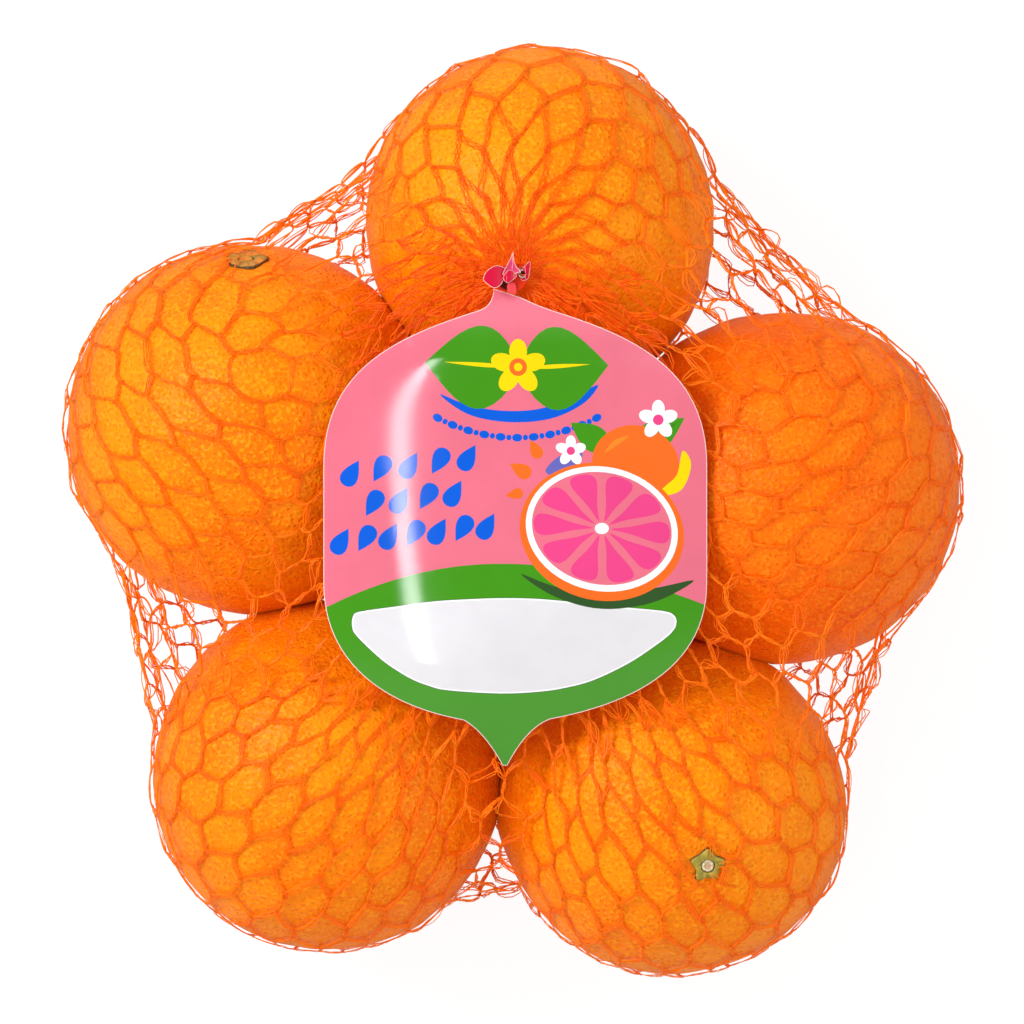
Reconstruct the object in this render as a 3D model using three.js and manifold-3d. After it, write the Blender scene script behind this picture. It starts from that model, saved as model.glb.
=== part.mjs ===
// Net of five oranges: a tube of knotted netting drawn tight round five oranges that lie in a ring,
// gathered at the front and at the back, with a printed film label tied into the front gather.
// Millimetres, +Z up. The pack lies on its back with the label up, and the origin is the middle
// of the footprint, on the surface that the pack rests on.

import * as THREE from 'three';
import Module from 'manifold-3d';
import { mergeVertices } from 'three/addons/utils/BufferGeometryUtils.js';

// ---- Driving dimensions ----

// Oranges: where each one lies, and its radii along X, Y and Z.
const oranges = [
  { x: 5.9, y: 61.7, radii: [37.1, 37.1, 36.4] },    // top, under the front gather
  { x: -56.3, y: 17.8, radii: [39.1, 39.1, 38.0] },  // left, the largest
  { x: 58.2, y: 5.1, radii: [37.6, 37.6, 37.0] },    // right
  { x: -40.0, y: -57.2, radii: [37.2, 37.2, 36.6] }, // bottom left
  { x: 34.4, y: -63.2, radii: [37.2, 35.8, 36.2] },  // bottom right
];
const flatRadius = 4.5;       // flat spot that each orange rests on
const flatBlend = 9.0;        // radius at which the flat spot meets the round fruit
const flatSides = 24;

// Net: knots in rows from the front gather to the back one, every other row half a mesh across.
const netThickness = 0.5;     // strand thickness, from the peel to a knot's top
const meshDip = 0.8;          // how far the middle of a mesh lies below its knots
const dipFadeHeight = 6.0;    // the dip fades out below this height, near the floor
const rows = 28;
const columns = 56;
const looseGirth = 120;       // radius and height of the net before it is drawn tight
const looseHeight = 90;
const strandLength = 6.0;     // unstretched strand between two knots
const hoopPull = 1.0;         // pull across a mesh, over the pull of a fully stretched strand
const slackMeshes = { angle: 1.5 * Math.PI, halfWidth: 0.35, share: 0.7 }; // less of it at the foot
const minTension = 0.02;      // of a slack strand
const drawSteps = 1500;       // steps in which the net is drawn tight
const stepShare = 0.9;        // of the way to its balanced place that a knot moves in a step

// The net is open, so between the fruit the solid's skin sinks in from the strands towards the peel:
// knots that are clear of the peel by so much are pulled to a band between two heights.
const sink = { pull: 0.3, clear: 1.0, lowest: 8.0, highest: 42.0 };

// Bulges of slack net that stand off beside the fruit, as places and half sizes along X, Y and Z.
const bulges = [
  { place: [47.8, 36.5, 37.0], radii: [20.0, 20.0, 16.0] },    // between the top and the right fruit
  { place: [-61.5, -27.0, 37.0], radii: [20.0, 20.0, 16.0] },  // between the left ones
  { place: [-8.0, -63.4, 36.0], radii: [20.0, 20.0, 10.0] },   // at the foot
  { place: [8.4, 62.2, 37.5], radii: [37.0, 37.0, 18.0] },     // at the head
  { place: [59.3, 8.2, 37.0], radii: [36.6, 36.6, 16.0] },     // on the right
];

// Gathers: the points in which all the strands meet, the way up of the net round each one, and the
// way that its tuft of strand ends points.
const frontGather = {
  place: new THREE.Vector3(0.5, 48.6, 71.3),
  up: new THREE.Vector3(-0.13, -0.33, 0.94).normalize(),
  tuft: new THREE.Vector3(0.36, 0.42, 0.83).normalize(),
};
const backGather = {
  place: new THREE.Vector3(0, -14.0, 6.0),
  up: new THREE.Vector3(0, 0, 1),
  tuft: new THREE.Vector3(0, 0, -1),
};
const gatherRadius = 2.2;     // ring of knots round a gather

// Tuft: the bundle of strand ends that the clip holds, as radii and the heights that they stand at.
const tuftRadius = 0.9;
const tuftLength = 4.6;
const tuftRoot = { radius: 1.53, depth: 1.0, height: 1.2 };    // where it spreads into the net
const tuftEnd = { radius: 1.26, height: 0.8, hollow: 0.3 };    // where it splays, and its dished end
const tuftSides = 12;

// Clip: a crimped metal ring round each tuft.
const clipWire = 0.4;         // radius of the wire
const clipGap = 0.3;          // between the tuft and the wire
const clipHeight = 3.3;       // along the tuft, from the gather
const clipFacets = { wire: 8, ring: 20 };

// Label: a film of even thickness, arched across its width.
const labelThickness = 0.5;
const arch = { x: -4.0, z: 76.9, radius: 260.0 };       // crest line of the arch
const neckBend = { y: 30.0, rate: 0.0155 };             // falls by rate x distance squared
const tailBend = { y: -20.0, rate: 0.0082 };
const labelColumns = 12;

// Outline of the label: on each side the ends of its stretches, from the neck down to the tail, and
// the handles of the curves between them. The sides are straight from sideTop to sideBottom.
const sideTop = 9.5;
const sideBottom = -15.5;
const sideHandles = { top: 21.0, bottom: 16.5 };
const leftSide = {
  neck: [-4.0, 47.1], neckHandle: [-4.2, 43.4], shoulder: [-7.1, 42.5], shoulderHandle: [-24.0, 37.1],
  edge: -40.2, footHandle: [-28.0, -41.5], tail: [-10.4, -44.7], tailHandle: [-6.0, -47.2],
  tip: [-2.1, -54.4],
};
const rightSide = {
  neck: [1.6, 45.3], neckHandle: [5.5, 43.4], shoulder: [9.0, 42.3], shoulderHandle: [25.0, 37.2],
  edge: 41.4, footHandle: [28.0, -40.8], tail: [8.0, -44.5], tailHandle: [3.0, -46.4],
  tip: [-1.1, -54.4],
};
const stretchSteps = [4, 12, 5, 10, 6];                 // facets along each stretch

// Gathered end of the label film, past the clip: one rounded lobe and two pointed folds.
const folds = [
  { base: [-4.9, 47.6, 72.4], tip: [-3.6, 51.2, 75.4], width: 2.0, end: 1.6 },
  { base: [-3.7, 49.6, 74.6], tip: [0.1, 54.8, 77.2], width: 1.9, end: 0.3 },
  { base: [-3.0, 50.2, 75.4], tip: [3.7, 52.7, 77.0], width: 1.6, end: 0.3 },
];
const foldFlatness = 0.4;     // thickness of a fold over its width
const foldSides = 10;

// ---- Materials ----

const netMaterial = new THREE.MeshStandardMaterial({ color: 0xff7d0a, roughness: 0.45, metalness: 0 });
const labelMaterial = new THREE.MeshStandardMaterial({ color: 0xfb7896, roughness: 0.2, metalness: 0 });
const clipMaterial = new THREE.MeshStandardMaterial({ color: 0xb9bcc0, roughness: 0.35, metalness: 1 });

// ---- Solids: three.js meshes in and out of manifold-3d ----

const wasm = await Module();
wasm.setup();

function toSolid(geometry, matrix = new THREE.Matrix4()) {
  const bare = geometry.index ? geometry.toNonIndexed() : geometry.clone();
  bare.deleteAttribute('normal');
  bare.deleteAttribute('uv');
  bare.applyMatrix4(matrix);
  const merged = mergeVertices(bare, 1e-4);
  return new wasm.Manifold(new wasm.Mesh({
    numProp: 3,
    vertProperties: new Float32Array(merged.attributes.position.array),
    triVerts: new Uint32Array(merged.index.array),
  }));
}

function toGeometry(solid) {
  const mesh = solid.getMesh();
  const geometry = new THREE.BufferGeometry();
  geometry.setAttribute('position', new THREE.BufferAttribute(new Float32Array(mesh.vertProperties), 3));
  geometry.setIndex(new THREE.BufferAttribute(new Uint32Array(mesh.triVerts), 1));
  return geometry;
}

function indexed(points, triangles) {
  const geometry = new THREE.BufferGeometry();
  geometry.setFromPoints(points);
  geometry.setIndex(triangles);
  return geometry;
}

// A matrix that stands local +Y along a direction, with its foot at a point.
function alongDirection(foot, direction) {
  const turn = new THREE.Quaternion().setFromUnitVectors(new THREE.Vector3(0, 1, 0), direction);
  return new THREE.Matrix4().compose(foot, turn, new THREE.Vector3(1, 1, 1));
}

// ---- Fruit ----

const fruit = oranges.map(({ x, y, radii }) => ({
  centre: new THREE.Vector3(x, y, radii[2] + netThickness),
  radii: new THREE.Vector3(...radii),
}));

const slack = bulges.map(({ place, radii }) => ({
  centre: new THREE.Vector3(...place),
  radii: new THREE.Vector3(...radii),
}));

// Moves a point that is inside a fruit or a bulge out to a given clearance from it.
function keepOutside(point, clearance) {
  for (const { centre, radii } of [...fruit, ...slack]) {
    const grown = radii.clone().addScalar(clearance);
    const offset = point.clone().sub(centre);
    const depth = offset.clone().divide(grown).length();
    if (depth < 1) {
      point.copy(centre).addScaledVector(offset, 1 / depth);
    }
  }
  return point;
}

// Whether a point is clear of every fruit by a given distance.
function isClear(point, clearance) {
  return fruit.every(({ centre, radii }) => (
    point.clone().sub(centre).divide(radii.clone().addScalar(clearance)).length() > 1));
}

// ---- Net ----

const knotIndex = (row, column) => row * columns + ((column % columns) + columns) % columns;
const knotAngle = (row, column) => 2 * Math.PI * (column + (row % 2) / 2) / columns;

// A knot of the ring round a gather.
function gatherKnot({ place, up }, angle) {
  const across = new THREE.Vector3(1, 0, 0).addScaledVector(up, -up.x).normalize();
  const along = new THREE.Vector3().crossVectors(up, across);
  return place.clone()
    .addScaledVector(across, gatherRadius * Math.cos(angle))
    .addScaledVector(along, gatherRadius * Math.sin(angle));
}

// The net laid loosely round the fruit, as a flat egg with a gather at each end.
function looseNet() {
  const knots = [];
  for (let row = 0; row <= rows; row++) {
    const fall = Math.PI * row / rows;
    const reach = looseGirth * Math.sin(fall);
    const height = looseHeight * (1 + Math.cos(fall)) / 2;
    const end = Math.cos(fall) ** 2;
    const middle = (row < rows / 2 ? frontGather : backGather).place;
    for (let column = 0; column < columns; column++) {
      const angle = knotAngle(row, column);
      const loose = new THREE.Vector3(
        middle.x * end + reach * Math.cos(angle), middle.y * end + reach * Math.sin(angle), height);
      knots.push(loose);
      if (row === 0) loose.copy(gatherKnot(frontGather, angle));
      if (row === rows) loose.copy(gatherKnot(backGather, angle));
    }
  }
  return knots;
}

// The four knots that a knot is tied to.
function tiedTo(row, column) {
  const shift = row % 2;
  return [
    knotIndex(row - 1, column + shift), knotIndex(row - 1, column + shift - 1),
    knotIndex(row + 1, column + shift), knotIndex(row + 1, column + shift - 1),
  ];
}

// The pull round the pack between neighbouring knots of a row, less where the meshes are slack.
function hoopPullAt(angle) {
  const away = (angle - slackMeshes.angle) / slackMeshes.halfWidth;
  return hoopPull * (1 - slackMeshes.share * Math.exp(-(away ** 2)));
}

// How far a knot has to go up or down to the band that the skin sinks to between the fruit.
function wayToBand({ z }) {
  return THREE.MathUtils.clamp(z, sink.lowest, sink.highest) - z;
}

// Draws the net tight: stretched strands pull their knots together, and the peel holds them out.
function drawTight(knots) {
  const pull = new THREE.Vector3();
  const strand = new THREE.Vector3();
  for (let step = 0; step < drawSteps; step++) {
    for (let row = 1; row < rows; row++) {
      for (let column = 0; column < columns; column++) {
        const knot = knots[knotIndex(row, column)];
        let weight = 0;
        pull.set(0, 0, 0);
        for (const other of tiedTo(row, column)) {
          strand.subVectors(knots[other], knot);
          const tension = Math.max(minTension, 1 - strandLength / strand.length());
          pull.addScaledVector(strand, tension);
          weight += tension;
        }
        const hoop = hoopPullAt(knotAngle(row, column));
        for (const beside of [knotIndex(row, column - 1), knotIndex(row, column + 1)]) {
          pull.addScaledVector(strand.subVectors(knots[beside], knot), hoop);
          weight += hoop;
        }
        if (isClear(knot, sink.clear)) {
          pull.z += sink.pull * wayToBand(knot);
          weight += sink.pull;
        }
        knot.addScaledVector(pull, stepShare / weight);
        keepOutside(knot, netThickness);
      }
    }
  }
  return knots;
}

// The middle of a mesh, pressed in towards the fruit, but not near the floor.
function meshMiddle(corners) {
  const middle = new THREE.Vector3();
  corners.forEach((corner) => middle.addScaledVector(corner, 1 / corners.length));
  const [left, up, right, down] = corners;
  const outward = new THREE.Vector3().crossVectors(
    new THREE.Vector3().subVectors(right, left), new THREE.Vector3().subVectors(up, down)).normalize();
  const dip = meshDip * Math.min(1, Math.max(0, middle.z / dipFadeHeight));
  keepOutside(middle, netThickness);
  middle.addScaledVector(outward, -dip);
  middle.z = Math.max(middle.z, 0);
  return middle;
}

// The closed skin of the net: four triangles in each mesh, and a fan in each gather.
function netSkin(knots) {
  const points = [...knots];
  const triangles = [];
  const fan = (corners, middle) => {
    points.push(middle);
    corners.forEach((corner, i) => {
      triangles.push(corner, corners[(i + 1) % corners.length], points.length - 1);
    });
  };
  for (let row = 1; row < rows; row++) {
    for (let column = 0; column < columns; column++) {
      const shift = row % 2;
      const corners = [
        knotIndex(row, column), knotIndex(row + 1, column + shift),
        knotIndex(row, column + 1), knotIndex(row - 1, column + shift),
      ];
      const [left, down, right, up] = corners.map((index) => knots[index]);
      fan(corners, meshMiddle([left, up, right, down]));
    }
  }
  for (let column = 0; column < columns; column++) {
    triangles.push(knotIndex(0, column), knotIndex(1, column), knotIndex(0, column + 1));
    triangles.push(knotIndex(rows, column), knotIndex(rows, column + 1), knotIndex(rows - 1, column));
  }
  const ring = (row) => Array.from({ length: columns }, (_, column) => knotIndex(row, column));
  fan(ring(0), frontGather.place.clone());
  fan(ring(rows).reverse(), backGather.place.clone());
  return indexed(points, triangles);
}

// The flat spot of one fruit: a low dish from the floor up into the fruit, where it ends in a point.
function flatSpot({ centre, radii }) {
  const rise = flatBlend ** 2 / (2 * radii.z) + netThickness;
  const point = 3 * rise;
  const profile = [[0, 0], [flatRadius, 0], [flatBlend, rise], [0, point]];
  const dish = new THREE.LatheGeometry(profile.map((xy) => new THREE.Vector2(...xy)), flatSides);
  const place = alongDirection(new THREE.Vector3(centre.x, centre.y, 0), new THREE.Vector3(0, 0, 1));
  return toSolid(dish, place);
}

// The bundle of strand ends past a gather, splayed a little at its end.
function tuftSolid(gather) {
  const profile = [
    [0, -tuftRoot.depth], [tuftRoot.radius, -tuftRoot.depth], [tuftRadius, tuftRoot.height],
    [tuftRadius, tuftLength - tuftEnd.height], [tuftEnd.radius, tuftLength],
    [0, tuftLength - tuftEnd.hollow],
  ];
  const bundle = new THREE.LatheGeometry(profile.map((xy) => new THREE.Vector2(...xy)), tuftSides);
  return toSolid(bundle, alongDirection(gather.place, gather.tuft));
}

function nettedOranges() {
  let solid = toSolid(netSkin(drawTight(looseNet())));
  fruit.forEach((one) => { solid = solid.add(flatSpot(one)); });
  return toGeometry(solid.add(tuftSolid(frontGather)).add(tuftSolid(backGather)));
}

// ---- Clips ----

function clip({ place, tuft }) {
  const ringRadius = tuftRadius + clipGap + clipWire;
  const ring = new THREE.TorusGeometry(ringRadius, clipWire, clipFacets.wire, clipFacets.ring);
  ring.rotateX(Math.PI / 2);
  const middle = place.clone().addScaledVector(tuft, clipHeight);
  return toGeometry(toSolid(ring, alongDirection(middle, tuft)));
}

// ---- Label ----

// Height of the underside of the label above the floor.
function labelHeight(x, y) {
  const across = (x - arch.x) ** 2 / (2 * arch.radius);
  const toNeck = neckBend.rate * Math.max(0, y - neckBend.y) ** 2;
  const toTail = tailBend.rate * Math.max(0, tailBend.y - y) ** 2;
  return arch.z - across - toNeck - toTail;
}

// The points of one side of the outline, from the neck down to the tip of the tail.
function outlinePoints(side) {
  const point = (xy) => new THREE.Vector2(...xy);
  const upper = point([side.edge, sideTop]);
  const lower = point([side.edge, sideBottom]);
  const stretches = [
    new THREE.QuadraticBezierCurve(point(side.neck), point(side.neckHandle), point(side.shoulder)),
    new THREE.CubicBezierCurve(point(side.shoulder), point(side.shoulderHandle),
      point([side.edge, sideTop + sideHandles.top]), upper),
    new THREE.LineCurve(upper, lower),
    new THREE.CubicBezierCurve(lower, point([side.edge, sideBottom - sideHandles.bottom]),
      point(side.footHandle), point(side.tail)),
    new THREE.QuadraticBezierCurve(point(side.tail), point(side.tailHandle), point(side.tip)),
  ];
  return stretches.flatMap((stretch, i) => stretch.getPoints(stretchSteps[i]).slice(i === 0 ? 0 : 1));
}

// A film between two edges: the same lattice of points on its underside and on its face.
function filmGeometry(leftEdge, rightEdge) {
  const points = [];
  const triangles = [];
  const last = leftEdge.length - 1;
  for (const lift of [0, labelThickness]) {
    for (let row = 0; row <= last; row++) {
      for (let column = 0; column <= labelColumns; column++) {
        const at = new THREE.Vector2().lerpVectors(leftEdge[row], rightEdge[row], column / labelColumns);
        points.push(new THREE.Vector3(at.x, at.y, labelHeight(at.x, at.y) + lift));
      }
    }
  }
  const faceStart = points.length / 2;
  const under = (row, column) => row * (labelColumns + 1) + column;
  const face = (row, column) => under(row, column) + faceStart;
  const quad = (a, b, c, d) => triangles.push(a, b, c, a, c, d);
  for (let row = 0; row < last; row++) {
    for (let column = 0; column < labelColumns; column++) {
      quad(face(row, column), face(row + 1, column), face(row + 1, column + 1), face(row, column + 1));
      quad(under(row, column), under(row, column + 1), under(row + 1, column + 1), under(row + 1, column));
    }
    quad(under(row, 0), under(row + 1, 0), face(row + 1, 0), face(row, 0));
    quad(face(row, labelColumns), face(row + 1, labelColumns),
      under(row + 1, labelColumns), under(row, labelColumns));
  }
  for (let column = 0; column < labelColumns; column++) {
    quad(face(0, column), face(0, column + 1), under(0, column + 1), under(0, column));
    quad(face(last, column + 1), face(last, column), under(last, column), under(last, column + 1));
  }
  return indexed(points, triangles);
}

// One fold of the gathered film: a flattened taper from the neck to its end.
function fold({ base, tip, width, end }) {
  const foot = new THREE.Vector3(...base);
  const rise = new THREE.Vector3(...tip).sub(foot);
  const taper = new THREE.CylinderGeometry(end, width, rise.length(), foldSides);
  taper.translate(0, rise.length() / 2, 0);
  taper.scale(1, 1, foldFlatness);
  return toSolid(taper, alongDirection(foot, rise.normalize()));
}

function label() {
  let solid = toSolid(filmGeometry(outlinePoints(leftSide), outlinePoints(rightSide)));
  folds.forEach((one) => { solid = solid.add(fold(one)); });
  return toGeometry(solid);
}

// ---- The pack ----

function piece(name, geometry, material) {
  const mesh = new THREE.Mesh(geometry, material);
  mesh.name = name;
  return mesh;
}

const pack = new THREE.Group();
pack.add(piece('netted_oranges', nettedOranges(), netMaterial));
pack.add(piece('label', label(), labelMaterial));
pack.add(piece('front_clip', clip(frontGather), clipMaterial));
pack.add(piece('back_clip', clip(backGather), clipMaterial));

export default pack;
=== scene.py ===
"""A net of five oranges with a printed film label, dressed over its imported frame."""

import math

import bpy
import numpy as np
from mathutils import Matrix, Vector, geometry


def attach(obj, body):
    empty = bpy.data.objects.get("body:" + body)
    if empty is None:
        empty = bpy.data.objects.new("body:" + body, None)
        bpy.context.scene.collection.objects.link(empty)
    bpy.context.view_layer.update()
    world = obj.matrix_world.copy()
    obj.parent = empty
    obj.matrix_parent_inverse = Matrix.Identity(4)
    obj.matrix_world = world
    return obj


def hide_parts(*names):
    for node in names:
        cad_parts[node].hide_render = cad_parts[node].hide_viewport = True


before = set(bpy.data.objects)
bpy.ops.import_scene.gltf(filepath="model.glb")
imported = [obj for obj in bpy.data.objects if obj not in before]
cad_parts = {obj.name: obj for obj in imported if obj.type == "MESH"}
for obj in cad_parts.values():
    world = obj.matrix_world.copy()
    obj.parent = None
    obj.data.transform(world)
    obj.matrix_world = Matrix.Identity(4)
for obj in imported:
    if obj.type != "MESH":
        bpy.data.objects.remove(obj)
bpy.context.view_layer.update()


# ---------------------------------------------------------------- the oranges
# Five sweet oranges of 74 to 78 mm, lying in one layer and touching. Each is a slightly lumpy
# globe with a pored, waxed peel, pressed flat where it meets a neighbour and where it lies.
MM = 0.001
PEEL_CELLS = 48                 # faces along each edge of the cube that a fruit is blown up from
NET_THICKNESS = 0.5             # the net lifts the fruit off the floor by this much
FLAT_DEPTH = 0.25               # how far the flat that a fruit lies on cuts into its globe
PRESS_BLEND = 0.3               # rounding of the edge of a flat
LEAST_FACING = 0.3              # a flat cuts only what lies this near its own direction, as a cosine
NO_LIMIT = 1e3                  # further out than any peel
SWELL = {"height": 1.2, "radius": 13.0, "share_of_gap": 0.4}   # pressed fruit swells round its flats
NEAR_GAP = {"pressed": 0.6, "close": 3.0}     # nearer than this two fruits are pressed, or only swell
LUMPS = {"count": 5, "height": 0.16, "lowest": 2.5, "highest": 5.5}       # waves all over the globe
RIPPLES = {"count": 14, "height": 0.035, "lowest": 14, "highest": 34}
STEM_HOLLOW = {"depth": 0.7, "radius": 5.5, "creases": 11, "crease_depth": 0.12, "crease_start": 3}

fruits = [
    {"name": "top", "place": (5.9, 61.7), "half": (37.1, 37.1, 36.4), "stem": (-0.10, -0.95, 0.25)},
    {"name": "left", "place": (-56.3, 17.8), "half": (39.1, 39.1, 38.0), "stem": (-0.015, 0.926, 0.376)},
    {"name": "right", "place": (58.2, 5.1), "half": (37.6, 37.6, 37.0), "stem": (-0.90, 0.20, 0.30)},
    {"name": "lower_left", "place": (-40.0, -57.2), "half": (37.2, 37.2, 36.6), "stem": (0.55, 0.80, 0.10)},
    {"name": "lower_right", "place": (34.4, -63.2), "half": (37.2, 35.8, 36.2), "stem": (0.20, -0.35, 0.91)},
]


def lengths(vectors):
    """How long vectors are, with the last axis kept."""
    return np.linalg.norm(vectors, axis=-1, keepdims=True)


def unit(vectors):
    """Vectors at length one."""
    vectors = np.asarray(vectors, float)
    return vectors / lengths(vectors)


def ripples(random, count, height, lowest, highest):
    """Waves over a globe: height, wave vector and phase of each."""
    ways = unit(random.normal(size=(count, 3)))
    pitch = random.uniform(lowest, highest, count)
    return [(height, ways[i] * pitch[i], random.uniform(0, 2 * math.pi)) for i in range(count)]


def globe(fruit, ways):
    """The smooth globe's distance from its centre along unit vectors."""
    return 1 / np.linalg.norm(ways / fruit["half"], axis=-1)


def peel(fruit, ways):
    """The peel's distance from the fruit's centre along unit vectors."""
    reach = globe(fruit, ways)
    for height, wave, phase in fruit["waves"]:
        reach = reach + height * np.cos(ways @ wave + phase)
    off_stem = np.linalg.norm(np.cross(ways, fruit["stem"]), axis=-1) * reach
    near = np.where(ways @ fruit["stem"] > 0, np.exp(-(off_stem / STEM_HOLLOW["radius"]) ** 2), 0)
    turn = np.arctan2(ways @ fruit["stem_up"], ways @ fruit["stem_side"])
    crease = STEM_HOLLOW["crease_depth"] * np.cos(STEM_HOLLOW["creases"] * turn) * \
        np.minimum(off_stem / STEM_HOLLOW["crease_start"], 1)
    reach = reach - near * (STEM_HOLLOW["depth"] - crease)
    for normal, height in fruit["swells"]:
        aside = np.linalg.norm(np.cross(ways, normal), axis=-1) * reach
        reach = reach + np.where(ways @ normal > 0, height * np.exp(-(aside / SWELL["radius"]) ** 2), 0)
    for normal, depth in fruit["presses"]:
        facing = ways @ normal
        limit = np.where(facing > LEAST_FACING, depth / np.maximum(facing, LEAST_FACING), NO_LIMIT)
        reach = (reach + limit - np.sqrt((reach - limit) ** 2 + PRESS_BLEND ** 2)) / 2 + \
            PRESS_BLEND ** 2 / (4 * np.maximum(limit - reach, PRESS_BLEND))
    return reach


def press_together(fruits):
    """Gives each fruit the flats where it meets the floor and its neighbours, and the swell round them."""
    for fruit in fruits:
        fruit["presses"] = [(np.array((0.0, 0.0, -1.0)), fruit["half"][2] - FLAT_DEPTH)]
        fruit["swells"] = []
    for i, one in enumerate(fruits):
        for other in fruits[i + 1:]:
            way = other["centre"] - one["centre"]
            apart = np.linalg.norm(way)
            way = way / apart
            spare = apart - globe(one, way) - globe(other, -way)
            if spare < NEAR_GAP["pressed"]:
                depth = globe(one, way) + spare / 2
                one["presses"].append((way, depth))
                other["presses"].append((-way, apart - depth))
            if spare < NEAR_GAP["close"]:
                height = SWELL["height"] if spare < NEAR_GAP["pressed"] else SWELL["share_of_gap"] * spare
                one["swells"].append((way, height))
                other["swells"].append((-way, height))


def across(way):
    """Two unit vectors at right angles to a direction."""
    side = unit(np.cross(way, (0.37, 0.81, 0.45)))
    return side, np.cross(way, side)


for number, fruit in enumerate(fruits):
    random = np.random.default_rng(40 + number)
    fruit["half"] = np.array(fruit["half"])
    fruit["centre"] = np.array((*fruit["place"], fruit["half"][2] + NET_THICKNESS))
    fruit["stem"] = unit(fruit["stem"])
    fruit["stem_side"], fruit["stem_up"] = across(fruit["stem"])
    fruit["waves"] = ripples(random, **LUMPS) + ripples(random, **RIPPLES)
press_together(fruits)


def new_piece(name, points, faces, materials, kinds=None):
    """A smooth mesh object from points in millimetres and faces of one number of corners."""
    faces = np.asarray(faces, np.int32)
    corners = faces.shape[1]
    mesh = bpy.data.meshes.new(name)
    mesh.vertices.add(len(points))
    mesh.vertices.foreach_set("co", (np.asarray(points) * MM).astype(np.float32).ravel())
    mesh.loops.add(faces.size)
    mesh.loops.foreach_set("vertex_index", faces.ravel())
    mesh.polygons.add(len(faces))
    mesh.polygons.foreach_set("loop_start", np.arange(0, faces.size, corners, dtype=np.int32))
    mesh.polygons.foreach_set("use_smooth", np.ones(len(faces), bool))
    if kinds is not None:
        mesh.polygons.foreach_set("material_index", np.asarray(kinds, np.int32))
    mesh.update(calc_edges=True)
    for material in materials:
        mesh.materials.append(material)
    piece = bpy.data.objects.new(name, mesh)
    bpy.context.scene.collection.objects.link(piece)
    return piece


def blown_cube(cells):
    """Unit vectors on the gridded faces of a cube blown up to a ball, and its four-cornered faces."""
    steps = np.arange(cells + 1)
    u, v = np.meshgrid(steps, steps, indexing="ij")
    grid = np.arange((cells + 1) ** 2).reshape(cells + 1, cells + 1)
    lattice, faces = [], []
    for axis in range(3):
        for side in (0, cells):
            spot = np.empty((cells + 1, cells + 1, 3), int)
            spot[..., axis] = side
            spot[..., (axis + 1) % 3] = u
            spot[..., (axis + 2) % 3] = v
            cell = np.stack([grid[:-1, :-1], grid[1:, :-1], grid[1:, 1:], grid[:-1, 1:]], -1)
            faces.append((cell if side else cell[..., ::-1]).reshape(-1, 4) + len(lattice) * grid.size)
            lattice.append(spot.reshape(-1, 3))
    lattice, place = np.unique(np.concatenate(lattice), axis=0, return_inverse=True)
    ways = unit(np.tan((lattice / cells * 2 - 1) * math.pi / 4))
    return ways, place.reshape(-1)[np.concatenate(faces)]


def node_group(name, inputs, outputs):
    """An empty shader node group with these sockets: name to (kind, value) in, name to kind out."""
    group = bpy.data.node_groups.new(name, "ShaderNodeTree")
    for label, (kind, value) in inputs.items():
        socket = group.interface.new_socket(label, in_out="INPUT", socket_type=kind)
        socket.default_value = value
    for label, kind in outputs.items():
        group.interface.new_socket(label, in_out="OUTPUT", socket_type=kind)
    return group, group.nodes.new("NodeGroupInput"), group.nodes.new("NodeGroupOutput")


def feed(tree, socket, value):
    """Links or sets one input of a node."""
    if isinstance(value, bpy.types.NodeSocket):
        tree.links.new(value, socket)
    else:
        socket.default_value = value


def add_node(tree, kind, given=None, **settings):
    """A node of a kind, its settings made and its inputs linked or set."""
    node = tree.nodes.new(kind)
    for key, value in settings.items():
        setattr(node, key, value)
    for key, value in (given or {}).items():
        feed(tree, node.inputs[key], value)
    return node


def math_node(tree, operation, first, second):
    """One sum of two values."""
    return add_node(tree, "ShaderNodeMath", {0: first, 1: second}, operation=operation).outputs[0]


def bump(tree, height, strength, distance):
    """A normal from a height that changes over the surface."""
    return add_node(tree, "ShaderNodeBump",
                    {"Strength": strength, "Distance": distance, "Height": height}).outputs[0]


def own_place(tree):
    """Where a point lies in its piece's own frame."""
    return add_node(tree, "ShaderNodeTexCoord").outputs["Object"]


def blend_colours(tree, share, first, second, way="MIX"):
    """Two colours mixed by a share."""
    return add_node(tree, "ShaderNodeMix", {0: share, 6: first, 7: second},
                    data_type="RGBA", blend_type=way).outputs[2]


def ramp(tree, value, low, high, start=0.0, end=1.0):
    """A value carried smoothly from one range to another."""
    return add_node(tree, "ShaderNodeMapRange", {"Value": value, "From Min": low, "From Max": high,
                    "To Min": start, "To Max": end}, interpolation_type="SMOOTHSTEP").outputs[0]


def cloud(tree, scale, detail=3.0, roughness=0.5, place=None):
    """Soft noise of so many lumps to the metre."""
    links = {"Scale": scale, "Detail": detail, "Roughness": roughness}
    if place is not None:
        links["Vector"] = place
    return add_node(tree, "ShaderNodeTexNoise", links).outputs["Fac"]


def skin(tree, **inputs):
    """Links or sets inputs of the material's own principled shader."""
    for key, value in inputs.items():
        feed(tree, tree.nodes["Principled BSDF"].inputs[key.replace("_", " ")], value)


def new_material(name):
    """An empty material with its principled shader, and its node tree."""
    material = bpy.data.materials.new(name)
    material.use_nodes = True
    return material, material.node_tree


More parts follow.
